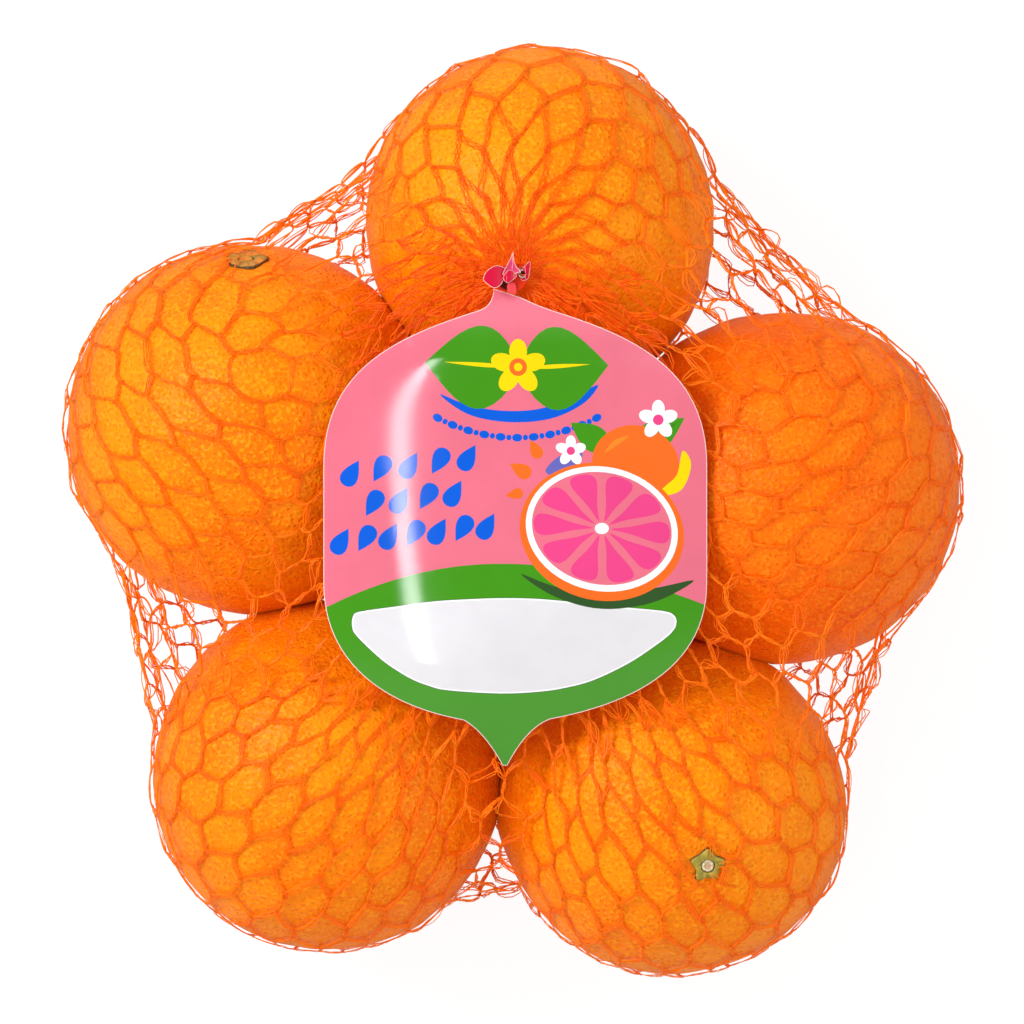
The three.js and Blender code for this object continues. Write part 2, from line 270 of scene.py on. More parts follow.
GLANDS = 900.0                  # oil glands to the metre
PEBBLES = 1050.0                # low pebbles between them
GLAND_BEND = {"scale": 300.0, "by": 0.0007}       # how far the rows of glands wander
PIT_DEPTH = 0.45                # of the pebbles' height
PEEL_RELIEF = 0.00032           # metres
PIT_SHARE = 0.32                # how strongly the deep colour shows in the pits
CREST_HIGHLIGHT_SHARE = 0.8               # and a paler one on the pebble crests: a painted highlight that stands in for glints of light on them
CREST_HIGHLIGHT_PALER = (1, 1.3, 3)
SCUFF_SHARE = 0.3
SCUFF_COLOUR = (0.50, 0.20, 0.03, 1)


def pore_group():
    """Oil glands of a citrus peel: a height for the pits and pebbles, a mask of pits, and one of crests."""
    group, given, out = node_group(
        "peel_pores",
        {"Place": ("NodeSocketVector", (0, 0, 0)), "Scale": ("NodeSocketFloat", GLANDS)},
        {"Height": "NodeSocketFloat", "Pits": "NodeSocketFloat", "Crests": "NodeSocketFloat"})
    bend = add_node(group, "ShaderNodeTexNoise", {"Vector": given.outputs[0], "Scale": GLAND_BEND["scale"],
                    "Detail": 0.0})
    shift = add_node(group, "ShaderNodeVectorMath", {0: bend.outputs["Color"], "Scale": GLAND_BEND["by"]},
                     operation="SCALE")
    place = add_node(group, "ShaderNodeVectorMath", {0: given.outputs[0], 1: shift.outputs[0]},
                     operation="ADD")
    glands = add_node(group, "ShaderNodeTexVoronoi", {"Vector": place.outputs[0], "Scale": given.outputs[1],
                      "Randomness": 0.9}, feature="F1")
    pits = ramp(group, glands.outputs["Distance"], 0.10, 0.50, 1.0, 0.0)
    pebbles = cloud(group, PEBBLES, 1.0, 0.6, place.outputs[0])
    crests = math_node(group, "MULTIPLY", ramp(group, pebbles, 0.50, 0.64),
                       math_node(group, "SUBTRACT", 1.0, pits))
    height = math_node(group, "SUBTRACT", pebbles, math_node(group, "MULTIPLY", pits, PIT_DEPTH))
    for socket, value in zip(out.inputs, (height, pits, crests)):
        feed(group, socket, value)
    return group


pores = pore_group()


def peel_material(name, ripe, pale, deep):
    """Waxed orange peel in three near colours, with oil glands, faint blotches, rare scuffs, and a painted
    highlight in paler colour on the pebble crests.
    """
    material, tree = new_material(name)
    place = own_place(tree)
    glands = add_node(tree, "ShaderNodeGroup", {}, node_tree=pores)
    tree.links.new(place, glands.inputs["Place"])
    glands.inputs["Scale"].default_value = GLANDS
    blotch = ramp(tree, cloud(tree, 42.0, 3.0, 0.6, place), 0.35, 0.65)
    colour = blend_colours(tree, blotch, (*ripe, 1), (*pale, 1))
    # the paler colour on the pebble crests is a painted highlight
    crest = (*(part * paler for part, paler in zip(pale, CREST_HIGHLIGHT_PALER)), 1)
    scuff = ramp(tree, cloud(tree, 120.0, 4.0, 0.7, place), 0.74, 0.82)
    for mask, share, tint in ((glands.outputs["Pits"], PIT_SHARE, (*deep, 1)),
                              (glands.outputs["Crests"], CREST_HIGHLIGHT_SHARE, crest),
                              (scuff, SCUFF_SHARE, SCUFF_COLOUR)):
        colour = blend_colours(tree, math_node(tree, "MULTIPLY", mask, share), colour, tint)
    relief = bump(tree, glands.outputs["Height"], 1.0, PEEL_RELIEF)
    skin(tree, Base_Color=colour, Roughness=0.28, Normal=relief, IOR=1.45, Specular_IOR_Level=0.09,
         Sheen_Weight=1.0, Sheen_Roughness=0.45, Sheen_Tint=(1.0, 0.22, 0.01, 1))
    return material


peel_colours = {                # ripe, pale and deep
    "top": ((0.96, 0.207, 0.001), (0.99, 0.278, 0.002), (0.90, 0.130, 0.0005)),
    "left": ((0.95, 0.175, 0.001), (0.99, 0.258, 0.002), (0.90, 0.112, 0.0005)),
    "right": ((0.94, 0.132, 0.001), (0.98, 0.182, 0.002), (0.88, 0.085, 0.0005)),
    "lower_left": ((0.95, 0.182, 0.001), (0.99, 0.250, 0.002), (0.90, 0.116, 0.0005)),
    "lower_right": ((0.95, 0.195, 0.001), (0.99, 0.262, 0.002), (0.90, 0.125, 0.0005)),
}
peels = {name: peel_material("peel_" + name, *colours) for name, colours in peel_colours.items()}
ball, ball_faces = blown_cube(PEEL_CELLS)
for fruit in fruits:
    peel_points = fruit["centre"] + ball * peel(fruit, ball)[:, None]
    orange = new_piece("orange_" + fruit["name"], peel_points, ball_faces, [peels[fruit["name"]]])
    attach(orange, "root")
    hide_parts("netted_oranges")


# ---------------------------------------------------------------- stem ends and blossom scars
# Where the stalk came away each fruit keeps its calyx: a star of dry green lobes round a corky
# button. On the far side is the small brown ring that the blossom left.
CALYX_RADIUS = {"left": 4.6, "other": 3.9}
LOBING = {"left": 0.12, "other": 0.27}       # how deep the bays between the lobes are, of the radius
CALYX_LIFT = 0.2
CALYX_LOBES = 5
CALYX_GRID = (18, 72)           # rings and spokes
# button, rim, groove, lobes and edge: out to which share of the radius, and which of four skins; the dark
# skin of the groove and the edge is painted shade
CALYX_BANDS = ((0.22, 0), (0.34, 1), (0.42, 2), (0.93, 3), (2, 2))
CALYX_SKINS = {"left": (4, 4, 2, 4), "other": (0, 1, 2, 3)}
STAR = {"button": 0.88, "lobes": 1.03, "sharpness": 1.3, "from": 0.42, "over": 0.4}
BUTTON = {"share": 0.40, "height": 0.45, "rim": 0.25, "rim_at": 0.30, "rim_width": 0.05}
LOBES = {"height": 0.62, "at": 0.68, "half_width": 0.36, "wave": 0.12, "tip_drop": 0.25}
GROOVE = {"depth": 0.85, "half_width": 0.035}
SCAR_GRID = (5, 20)
SCAR_RADIUS = 1.3
SCAR_HEIGHT = 0.12


def dry_material(name, one, other, rough, scale):
    """Dry plant skin in two colours, wrinkled."""
    material, tree = new_material(name)
    fleck = cloud(tree, scale, 4.0, 0.6, own_place(tree))
    colour = blend_colours(tree, ramp(tree, fleck, 0.35, 0.65), (*one, 1), (*other, 1))
    skin(tree, Base_Color=colour, Roughness=rough, Normal=bump(tree, fleck, 0.7, 0.0002))
    return material


calyx_skins = [
    dry_material("calyx_button", (0.66, 0.42, 0.26), (0.46, 0.27, 0.14), 0.7, 1500.0),
    dry_material("calyx_rim", (0.80, 0.70, 0.48), (0.55, 0.45, 0.22), 0.6, 1500.0),
    # dark brown in the groove round the button and on the low wall round the lobes: painted shade, for the
    # shade that falls in the groove and under the lobes' edges
    dry_material("calyx_groove_painted_shade", (0.17, 0.080, 0.010), (0.05, 0.026, 0.006), 0.8, 1200.0),
    dry_material("calyx_lobe", (0.24, 0.205, 0.012), (0.47, 0.34, 0.03), 0.55, 900.0),
    dry_material("calyx_lobe_browned", (0.78, 0.23, 0.012), (0.30, 0.19, 0.02), 0.6, 450.0),
    dry_material("blossom_scar", (0.25, 0.11, 0.03), (0.10, 0.045, 0.015), 0.8, 1500.0),
]


def on_peel(fruit, way, across_mm, height):
    """Points laid on a fruit's peel round a direction, from flat distances and heights."""
    side, up = across(way)
    spot = way * globe(fruit, way) + across_mm[..., :1] * side + across_mm[..., 1:] * up
    ways = unit(spot)
    return fruit["centre"] + ways * (peel(fruit, ways) + height)[..., None]


def full_turn(steps):
    """Angles evenly round, from nought."""
    return np.linspace(0, 2 * math.pi, steps, endpoint=False)


def round_patch(fruit, way, rings, around, outline, height, kinds):
    """A disc laid on a fruit: rings of points inside an outline, raised by a height."""
    turn = full_turn(around)
    share = np.linspace(0, 1, rings + 1)[1:, None] * np.ones(around)
    turn = turn * np.ones((rings, 1))
    flat = (share * outline(share, turn))[..., None] * np.stack([np.cos(turn), np.sin(turn)], -1)
    centre = on_peel(fruit, way, np.zeros((1, 2)), height(np.zeros(1), np.zeros(1)))
    points = np.concatenate([centre, on_peel(fruit, way, flat, height(share, turn)).reshape(-1, 3)])
    faces, kind = [], []
    for ring in range(rings):
        for spoke in range(around):
            after = (spoke + 1) % around
            outer = 1 + ring * around
            inner = outer - around
            if ring == 0:
                faces.append((0, outer + spoke, outer + after))
                kind.append(kinds(0, turn[0, spoke]))
            else:
                faces.append((inner + spoke, outer + spoke, outer + after))
                faces.append((inner + spoke, outer + after, inner + after))
                kind += [kinds(share[ring - 1, 0], turn[0, spoke])] * 2
    return points, np.array(faces), kind


def calyx_outline(radius, lobing):
    """A round button inside a star of broad lobes, each a little different."""
    def reach(share, turn):
        lobe = STAR["lobes"] - lobing * np.abs(np.sin(turn * CALYX_LOBES / 2)) ** STAR["sharpness"]
        uneven = 1 + 0.07 * np.cos(turn + 0.7) + 0.05 * np.cos(3 * turn + 2)
        starry = np.clip((share - STAR["from"]) / STAR["over"], 0, 1)
        return radius * (STAR["button"] + (lobe * uneven - STAR["button"]) * starry)
    return reach


def calyx_height(share, turn):
    """Button, raised rim, groove, and lobes that curl down to the peel."""
    button = BUTTON["height"] + \
        BUTTON["rim"] * np.exp(-((share - BUTTON["rim_at"]) / BUTTON["rim_width"]) ** 2)
    bulge = np.sqrt(np.maximum(0, 1 - ((share - LOBES["at"]) / LOBES["half_width"]) ** 2))
    lobes = LOBES["height"] * bulge + LOBES["wave"] * np.cos(CALYX_LOBES * turn) * (share > 0.5)
    groove = np.exp(-((share - BUTTON["share"]) / GROOVE["half_width"]) ** 2)
    raised = np.where(share < BUTTON["share"], button, lobes - LOBES["tip_drop"] * (share >= 1)) * \
        (1 - GROOVE["depth"] * groove)
    return raised + CALYX_LIFT * (share < 1)


def calyx_kind(share, turn):
    """Which skin a ring of the calyx has."""
    return next(kind for limit, kind in CALYX_BANDS if share < limit)


for fruit in fruits:
    kind = "left" if fruit["name"] == "left" else "other"
    fruit["calyx_radius"] = CALYX_RADIUS[kind]
    outline = calyx_outline(CALYX_RADIUS[kind], LOBING[kind])
    patch = round_patch(fruit, fruit["stem"], *CALYX_GRID, outline, calyx_height, calyx_kind)
    calyx = new_piece("calyx_" + fruit["name"], patch[0], patch[1],
                      [calyx_skins[one] for one in CALYX_SKINS[kind]], patch[2])
    scar = round_patch(fruit, -fruit["stem"], *SCAR_GRID, lambda share, turn: SCAR_RADIUS + 0 * turn,
                       lambda share, turn: SCAR_HEIGHT * np.sin(math.pi * np.minimum(share * 1.15, 1)) - 0.02,
                       lambda share, turn: 0)
    blossom = new_piece("blossom_scar_" + fruit["name"], scar[0], scar[1], calyx_skins[5:])
    for piece in (calyx, blossom):
        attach(piece, "root")


# ---------------------------------------------------------------- the net
# A tube of knitted orange plastic netting, drawn over the fruit and gathered at both ends. Every
# leg of a mesh is a few fine filaments loosely twisted, and every crossing a small knitted loop.
SHEET_ROWS = 31                 # a plain sheet is drawn tight first, then the meshes are laid on it
SHEET_COLUMNS = 60
LOOSE_GIRTH = 120               # the sheet before it is drawn: half its width, half its height, its middle
LOOSE_HEIGHT = 90
LOOSE_MIDDLE = 38
SLACK_STEP = 5.5                # rows closer than this pull with the least tension only
LEAST_TENSION = 0.02
HOOP_PULL = 0.5
DRAW_STEPS = 1500
STEP_SHARE = 0.9
NET_ROWS = 27
NET_COLUMNS = 52
ROW_STRETCH = {"side": 0.12, "head": 0.50, "foot": 0.32}    # the first rows are so much longer
MESH_WIDTH = {"side": 11.0, "head": 13.0, "foot": 8.0, "under_label": 3.0}
FAN_ROWS = (6, 13)              # the meshes under the label widen to the foot over these rows
CROWD_ROWS = (0, 4)             # the widths set in over these rows, and even out again over the others
EVEN_ROWS = (18, 24)
HEAD = {"way": 0.5 * math.pi, "half_width": 0.8}      # directions from the front gather
FOOT = {"way": 1.5 * math.pi, "half_width": 0.75}
GATHER_RADIUS = 2.2
STALK_ROOM = 4.2                # the legs part round a stalk end at this radius
FILAMENT = 0.072                # radius
FREE_THICKER = 0.9              # a filament looks so much thicker where it spans free, unpressed
FREE_TIGHTER = 0.6              # and the filaments of a leg lie so much closer there
gathers = {
    "front": {"place": (0.5, 48.6, 71.3), "up": (-0.13, -0.33, 0.94), "tuft": (0.36, 0.42, 0.83)},
    "back": {"place": (0.0, -14.0, 6.0), "up": (0.0, 0.0, 1.0), "tuft": (0.0, 0.0, -1.0)},
}
# between two fruits the stiff strands stand off as if a disc held them: its centre and half sizes
held_off = [
    ((49.0, 37.8, 37.0), (18.9, 18.9, 16.0)),
    ((-61.5, -27.0, 37.0), (19.5, 19.5, 16.0)),
    ((-8.0, -63.4, 36.0), (20.0, 20.0, 10.0)),
    ((8.4, 62.2, 37.5), (37.0, 37.0, 18.0)),
    ((59.3, 8.2, 37.0), (36.6, 36.6, 16.0)),
]
# where the net has meshes to spare, its rows pull less round the pack
slack = [{"way": 1.52 * math.pi, "half_width": 0.42, "share": 0.78},
         {"way": 0.69 * math.pi, "half_width": 0.30, "share": 0.86}]


# the label lies on the net in a low arch that tightens to both ends, and the net stays under it
FILM_TOP = 0.5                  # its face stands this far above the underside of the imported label
UNDER_LABEL = 0.5
COVERED = [((0.6, 1.0), (40.0, 44.0)), ((-1.5, -44.0), (6.0, 12.0))]    # rounded fields: body, tail
arch = {"x": -4.0, "z": 76.9, "radius": 262.0}
neck_bend = {"y": 30.0, "rate": 0.0155}
tail_bend = {"y": -20.0, "rate": 0.0082}
tighter = {"y": 18.0, "to_neck": 0.5, "to_tail": 0.029, "least": 150.0}


def film_face(x, y):
    """Height of the label's face."""
    radius = arch["radius"] - tighter["to_neck"] * np.maximum(0, y - tighter["y"]) ** 2 - \
        tighter["to_tail"] * np.maximum(0, tighter["y"] - y) ** 2
    return arch["z"] - (x - arch["x"]) ** 2 / (2 * np.maximum(radius, tighter["least"])) + FILM_TOP - \
        neck_bend["rate"] * np.maximum(0, y - neck_bend["y"]) ** 2 - \
        tail_bend["rate"] * np.maximum(0, tail_bend["y"] - y) ** 2


def lift_out(points, centre, half):
    """Points inside an ellipsoid moved straight out to its surface."""
    away = points - centre
    depth = np.linalg.norm(away / half, axis=-1)
    return centre + away * np.where(depth < 1, 1 / np.maximum(depth, 1e-6), 1.0)[..., None]


def outside_fruit(points):
    """Knots kept out of the fruit and of the discs that hold the net off."""
    for centre, half in held_off:
        points = lift_out(points, np.array(centre), np.array(half))
    for fruit in fruits:
        points = lift_out(points, fruit["centre"], fruit["half"] + NET_THICKNESS)
    points[..., 2] = np.maximum(points[..., 2], NET_THICKNESS / 2)
    return points


def towards(angle, one):
    """One in a direction, falling to nought away from it."""
    off = (angle - one["way"] + math.pi) % (2 * math.pi) - math.pi
    return np.exp(-(off / one["half_width"]) ** 2)


def gathered_ring(gather, angles):
    """The end row, drawn into a small ring."""
    up = unit(gather["up"])
    side = unit(np.cross((0, 1, 0), up))
    ring = np.cos(angles)[:, None] * side + np.sin(angles)[:, None] * np.cross(up, side)
    return np.array(gather["place"]) + GATHER_RADIUS * ring


def drawn_sheet():
    """A plain sheet drawn tight over the fruit: rows from front to back, columns round from the head."""
    angles = 2 * math.pi * np.arange(SHEET_COLUMNS) / SHEET_COLUMNS + math.pi / 2
    height = (math.pi * np.arange(SHEET_ROWS + 1) / SHEET_ROWS)[:, None]
    sheet = np.stack([LOOSE_GIRTH * np.sin(height) * np.cos(angles),
                      LOOSE_GIRTH * np.sin(height) * np.sin(angles),
                      LOOSE_MIDDLE + LOOSE_HEIGHT * np.cos(height) + 0 * angles], -1)
    sheet[0] = gathered_ring(gathers["front"], angles)
    sheet[-1] = gathered_ring(gathers["back"], angles)
    hoop = HOOP_PULL * (1 - sum(one["share"] * towards(angles, one) for one in slack))[:, None]
    for _ in range(DRAW_STEPS):
        here = sheet[1:-1]
        pull = hoop * (np.roll(here, 1, axis=1) + np.roll(here, -1, axis=1) - 2 * here)
        weight = 2 * hoop
        for other in (sheet[:-2], sheet[2:]):
            step = other - here
            length = lengths(step)
            pull = pull + step * np.maximum(LEAST_TENSION, 1 - SLACK_STEP / np.maximum(length, 1e-6))
            weight = weight + np.where(length > SLACK_STEP, 1.0, LEAST_TENSION)
        sheet[1:-1] = outside_fruit(here + pull * STEP_SHARE / weight)
    return sheet


def spaced(line, shares, widths=1.0):
    """Points at shares of a line, closer together where its widths are less."""
    run = np.concatenate([[0], np.cumsum(np.linalg.norm(np.diff(line, axis=0), axis=-1) / widths)])
    return np.stack([np.interp(shares * run[-1], run, line[:, axis]) for axis in range(3)], -1)


def eased(value):
    """A value held between nought and one, with soft ends."""
    value = np.clip(value, 0, 1)
    return value ** 2 * (3 - 2 * value)


def direction(points):
    """Which way points lie from the front gather, seen from above."""
    x, y, _ = gathers["front"]["place"]
    return np.arctan2(points[..., 1] - y, points[..., 0] - x)


def over_rows(row, first, last):
    """Nought up to the first row and one from the last, with soft ends."""
    return eased((row - first) / (last - first))


def mesh_widths(ring, row):
    """How wide the meshes lie round a row: crowded under the label, fanning out towards the foot."""
    way = direction((ring[1:] + ring[:-1]) / 2)
    foot = MESH_WIDTH["under_label"] + \
        (MESH_WIDTH["foot"] - MESH_WIDTH["under_label"]) * over_rows(row, *FAN_ROWS)
    side = 1 / MESH_WIDTH["side"]
    crowding = side + (1 / foot - side) * towards(way, FOOT) + \
        (1 / MESH_WIDTH["head"] - side) * towards(way, HEAD)
    shown = over_rows(row, *CROWD_ROWS) * (1 - over_rows(row, *EVEN_ROWS))
    return 1 / (shown * crowding + (1 - shown) * side)


def laid_net(sheet):
    """The knots of the net on the sheet: rows from front to back, every other row half a mesh on."""
    share = np.linspace(0, 1, NET_ROWS + 1)
    even = []
    for column in np.swapaxes(sheet, 0, 1):
        way = direction(column[SHEET_ROWS // 3])
        stretch = ROW_STRETCH["side"] + (ROW_STRETCH["head"] - ROW_STRETCH["side"]) * towards(way, HEAD) + \
            (ROW_STRETCH["foot"] - ROW_STRETCH["side"]) * towards(way, FOOT)
        even.append(spaced(column, share * (1 + stretch * (1 - share))))
    even = np.stack(even, 1)
    rows = []
    for row, ring in enumerate(even):
        ring = np.concatenate([ring, ring[:1]])
        shares = (np.arange(NET_COLUMNS) + row % 2 / 2) / NET_COLUMNS
        rows.append(spaced(ring, shares, mesh_widths(ring, row)))
    return outside_fruit(np.array(rows))


def beside(rows, odd):
    """The slanting neighbour of each knot in the next row: one column on or one back."""
    return np.where(odd, np.roll(rows, -1, axis=1), np.roll(rows, 1, axis=1))


def from_centre(fruit, points):
    """Which way points lie from a fruit's centre, and how far."""
    away = points - fruit["centre"]
    length = lengths(away)
    return away / length, length


def peel_gaps(points):
    """How far points lie from every fruit's peel, and the directions from the fruits' centres."""
    gaps, ways = [], []
    for fruit in fruits:
        way, length = from_centre(fruit, points)
        gaps.append(length[..., 0] - peel(fruit, way))
        ways.append(way)
    return np.array(gaps), np.array(ways)


def off_peel(points, room):
    """Points pushed off every fruit's peel until they have so much room."""
    for fruit in fruits:
        way, length = from_centre(fruit, points)
        least = (peel(fruit, way) + room)[..., None]
        points = np.where(length < least, fruit["centre"] + way * least, points)
    x, y, z = np.moveaxis(points, -1, 0)
    below = [((x - x0) / wide) ** 4 + ((y - y0) / high) ** 4 < 1 for (x0, y0), (wide, high) in COVERED]
    points[..., 2] = np.where(np.any(below, 0), np.minimum(z, film_face(x, y) - UNDER_LABEL), z)
    return points


def off_stalks(paths):
    """Paths bent aside so that they pass each stalk end at a distance."""
    for fruit in fruits:
        away = paths - fruit["centre"]
        climb = (away @ fruit["stem"])[..., None]
        beside_stem = away - climb * fruit["stem"]
        far = np.linalg.norm(beside_stem, axis=-1)
        nearest = np.take_along_axis(beside_stem, far.argmin(1)[:, None, None], 1)
        least = lengths(nearest)
        along = lengths(beside_stem - nearest)
        push = np.maximum(STALK_ROOM - least, 0) * np.exp(-(along / STALK_ROOM) ** 2 / 2) * (climb > 0)
        paths = paths + nearest / np.maximum(least, 1e-6) * push
    return paths


WAY_OUT_FADE = 4                # a fruit this much further off has little say in which way is out


def outward(points):
    """The way out of the pack at each point, from the nearest fruit."""
    gaps, ways = peel_gaps(points)
    weight = np.exp(-np.maximum(gaps, 0) / WAY_OUT_FADE)[..., None] + 1e-9
    return unit((ways * weight).sum(0)), gaps.min(0)


def tubes(paths, radius, out, closed=False, sides=3):
    """Tubes along paths of equally many points: points and triangles."""
    count, steps = paths.shape[:2]
    if closed:
        tangent = unit(np.roll(paths, -1, axis=1) - np.roll(paths, 1, axis=1))
    else:
        tangent = unit(np.gradient(paths, axis=1))
    normal = unit(out - (out * tangent).sum(-1, keepdims=True) * tangent)
    side = np.cross(tangent, normal)
    turn = 2 * math.pi * np.arange(sides) / sides + math.pi / 2
    ring = np.cos(turn)[:, None] * side[:, :, None] + np.sin(turn)[:, None] * normal[:, :, None]
    points = paths[:, :, None] + ring * np.asarray(radius)[..., None, None]
    grid = np.arange(count * steps * sides).reshape(count, steps, sides)
    here = grid if closed else grid[:, :-1]
    after = np.roll(grid, -1, axis=1) if closed else grid[:, 1:]
    turned, after_turned = np.roll(here, -1, axis=2), np.roll(after, -1, axis=2)
    faces = [np.stack([here, turned, after_turned], -1).reshape(-1, 3),
             np.stack([here, after_turned, after], -1).reshape(-1, 3)]
    if not closed:
        for corner in range(1, sides - 1):
            faces += [grid[:, 0, [0, corner + 1, corner]], grid[:, -1, [0, corner, corner + 1]]]
    return points.reshape(-1, 3), np.concatenate(faces)


# the strands' emission is a painted glow: it stands in for light shining through the filaments, and no lamp
# is there
PAINTED_GLOW = 0.11


def strand_material(name, colour, dark, scale):
    """Drawn orange plastic filament, a little darker in places, with a faint emission: a painted glow that
    stands in for light passing through it.
    """
    material, tree = new_material(name)
    tone = ramp(tree, cloud(tree, scale, 3.0, 0.6, own_place(tree)), 0.35, 0.65)
    tint = blend_colours(tree, tone, (*colour, 1), (*dark, 1))
    skin(tree, Base_Color=tint, Roughness=0.30, IOR=1.5, Specular_IOR_Level=0.18,
         Emission_Color=(*colour, 1), Emission_Strength=PAINTED_GLOW)
    return material


netting = strand_material("net_plastic", (1.0, 0.220, 0.004), (1.0, 0.155, 0.003), 90.0)
# the net next to the front gather and both tufts get a deeper red copy of the net colour: painted shade, for
# the shade that falls round the gathers
gathered_netting_painted_shade = strand_material("net_plastic_gathered_painted_shade", (1.0, 0.170, 0.003), (0.94, 0.080, 0.002), 700.0)
JOINT_SHARE = {"side": 0.42, "ends": 0.20}            # half length of a joint, of the way to the next row
JOINT_UNEVEN = (0.75, 1.1)
SWEEP = 0.9                     # how far a leg carries on along its joint before it turns away
JOINT_ROWS = (2, 7)             # the joints grow from nothing to their length over these rows
KNOT_STRAY = 0.35               # how unevenly the knots lie
CLING = 4.0                     # the net draws in to the peel where it comes this near
LOOSE_GAP = 1.5                 # legs this far off the fruit have a few more loose filaments
LEG_STRANDS = {"free": 4, "loose": 2}
LEG_WIDTH = {"laid": 0.65, "free": 0.65, "loose": 0.9, "joint": 0.5}          # half of it
LEG_WANDER = {"laid": 0.05, "free": 0.06, "loose": 0.17, "joint": 0.03}       # sideways, of its length
LEG_UNEVEN = (0.6, 1.3)         # of the width
LEG_TWIST = (0.5, 1.5)          # turns of the filaments round each other
STRAND_LIFT = (0.10, 0.12)      # of a filament off the middle of its leg: the mean, and what the twist adds
STRAND_ROOM = 0.8               # between a filament's middle line and the peel, of its radius
STRAND_STRAY = 0.04             # how far a filament that spans free leaves the others, of its length
LOOP = {"size": (0.3, 0.65), "lift": 0.2, "oval": 0.75, "lean": 0.5, "sides": 6}
STOUT = 1.3                     # a filament of a knot, or caught on a stalk end, is so much stouter
PUCKER = {"reach": 9.0, "share": 0.5}     # the net catches on a stalk end and draws in round it
random = np.random.default_rng(7)
knots = laid_net(drawn_sheet())
rows_in = np.minimum(np.arange(NET_ROWS + 1), NET_ROWS - np.arange(NET_ROWS + 1))
opening = np.clip((rows_in - JOINT_ROWS[0]) / (JOINT_ROWS[1] - JOINT_ROWS[0]), 0, 1)[:, None, None]
knots = knots + random.normal(0, KNOT_STRAY, knots.shape) * opening
for fruit in fruits:
    way_in = fruit["centre"] + fruit["stem"] * globe(fruit, fruit["stem"]) - knots
    near = np.exp(-(lengths(way_in) / PUCKER["reach"]) ** 2)
    knots = knots + way_in * near * PUCKER["share"]
gaps, ways_out = peel_gaps(knots)
gap = gaps.min(0)[..., None]
way_out = np.take_along_axis(ways_out, gaps.argmin(0)[None, ..., None], 0)[0]
knots = knots - way_out * np.maximum(gap, 0) * (1 - np.clip(gap / CLING, 0, 1)) * opening
knots = off_stalks(knots.reshape(-1, 1, 3)).reshape(knots.shape)
knots = np.concatenate([knots[:1], off_peel(knots[1:-1], NET_THICKNESS), knots[-1:]])

# the joints lie the long way of the tube, from one gather to the other
row_odd = (np.arange(NET_ROWS) % 2 == 1)[:, None, None]
onward = (knots[1:] + beside(knots[1:], row_odd)) / 2 - knots[:-1]
onward = np.concatenate([onward[:1], (onward[1:] + onward[:-1]) / 2, onward[-1:]])
spacing = lengths(onward)
ends_of_pack = np.minimum(towards(direction(knots), HEAD) + towards(direction(knots), FOOT), 1)[..., None]
half_length = spacing * (JOINT_SHARE["side"] + (JOINT_SHARE["ends"] - JOINT_SHARE["side"]) * ends_of_pack)
half_length = half_length * random.uniform(*JOINT_UNEVEN, spacing.shape)
joint = unit(onward) * half_length * opening
joint_way = unit(onward) * opening
leg_ends = []
for slant in (False, True):
    far, far_joint, far_way = [beside(part[1:], row_odd) if slant else part[1:]
                               for part in (knots, joint, joint_way)]
    leg_ends.append((knots[:-1] + joint[:-1], joint_way[:-1], far - far_joint, -far_way))
leg_ends = [np.stack(both, 2) for both in zip(*leg_ends)]


def off_floor(paths):
    """Paths of filaments kept above the floor."""
    paths[..., 2] = np.maximum(paths[..., 2], FILAMENT)
    return paths


def filaments(ends, steps, strands, spread, wander):
    """Loosely twisted filaments between points, laid on the peel or spanning free."""
    start, start_way, end, end_way = [part.reshape(-1, 1, 3) for part in ends]
    share = np.linspace(0, 1, steps + 1)[None, :, None]
    length = lengths(end - start)
    ease = eased(share)
    bow = np.sin(math.pi * share)
    middle = start * (1 - ease) + end * ease + length * SWEEP * (
        start_way * share * (1 - share) ** 2 + end_way * share ** 2 * (1 - share))
    out, gap = outward(middle)
    side = unit(np.cross(unit(end - start + 1e-9), out))
    once, twice = random.normal(0, wander, (2, len(start), 1, 1))
    middle = middle + side * length * (once * bow + twice * np.sin(2 * math.pi * share) / 2)
    sag = random.normal(0, wander, (len(start), 1, 1)) * length * bow
    free = np.clip(gap / 2, 0, 1)[..., None]
    middle = off_stalks(middle + out * sag * free)
    paths, ways = [], []
    phase = random.uniform(0, 2 * math.pi, (len(start), 1, 1))
    twist = random.uniform(*LEG_TWIST, (len(start), 1, 1))
    width = spread * (1 - FREE_TIGHTER * free) * random.uniform(*LEG_UNEVEN, (len(start), 1, 1))
    for strand in range(strands):
        angle = phase + 2 * math.pi * (twist * share + strand / strands)
        stray = random.normal(0, STRAND_STRAY, (2, len(start), 1, 1)) * length * bow * free
        lift = STRAND_LIFT[0] + STRAND_LIFT[1] * np.sin(angle) + stray[1]
        path = middle + side * (width * np.cos(angle) + stray[0]) + out * lift
        paths.append(off_floor(off_peel(path, FILAMENT * STRAND_ROOM)))
        ways.append(out)
    radius = FILAMENT * (1 + FREE_THICKER * free[..., 0])
    return np.concatenate(paths), np.concatenate([radius] * strands), np.concatenate(ways)


def knot_loops(centre):
    """A small loop of filament round every crossing."""
    centre = centre.reshape(-1, 1, 3)
    out = outward(centre)[0]
    side = unit(np.cross(out, unit(random.normal(size=centre.shape))))
    lean = unit(np.cross(out, side) + LOOP["lean"] * out * random.normal(0, 1, (len(centre), 1, 1)))
    turn = full_turn(LOOP["sides"])[None, :, None]
    size = random.uniform(*LOOP["size"], (len(centre), 1, 1))
    path = centre + out * LOOP["lift"] + size * (np.cos(turn) * side + LOOP["oval"] * np.sin(turn) * lean)
    path = off_floor(off_peel(path, FILAMENT))
    return path, np.full(path.shape[:2], FILAMENT * STOUT), np.broadcast_to(out, path.shape)


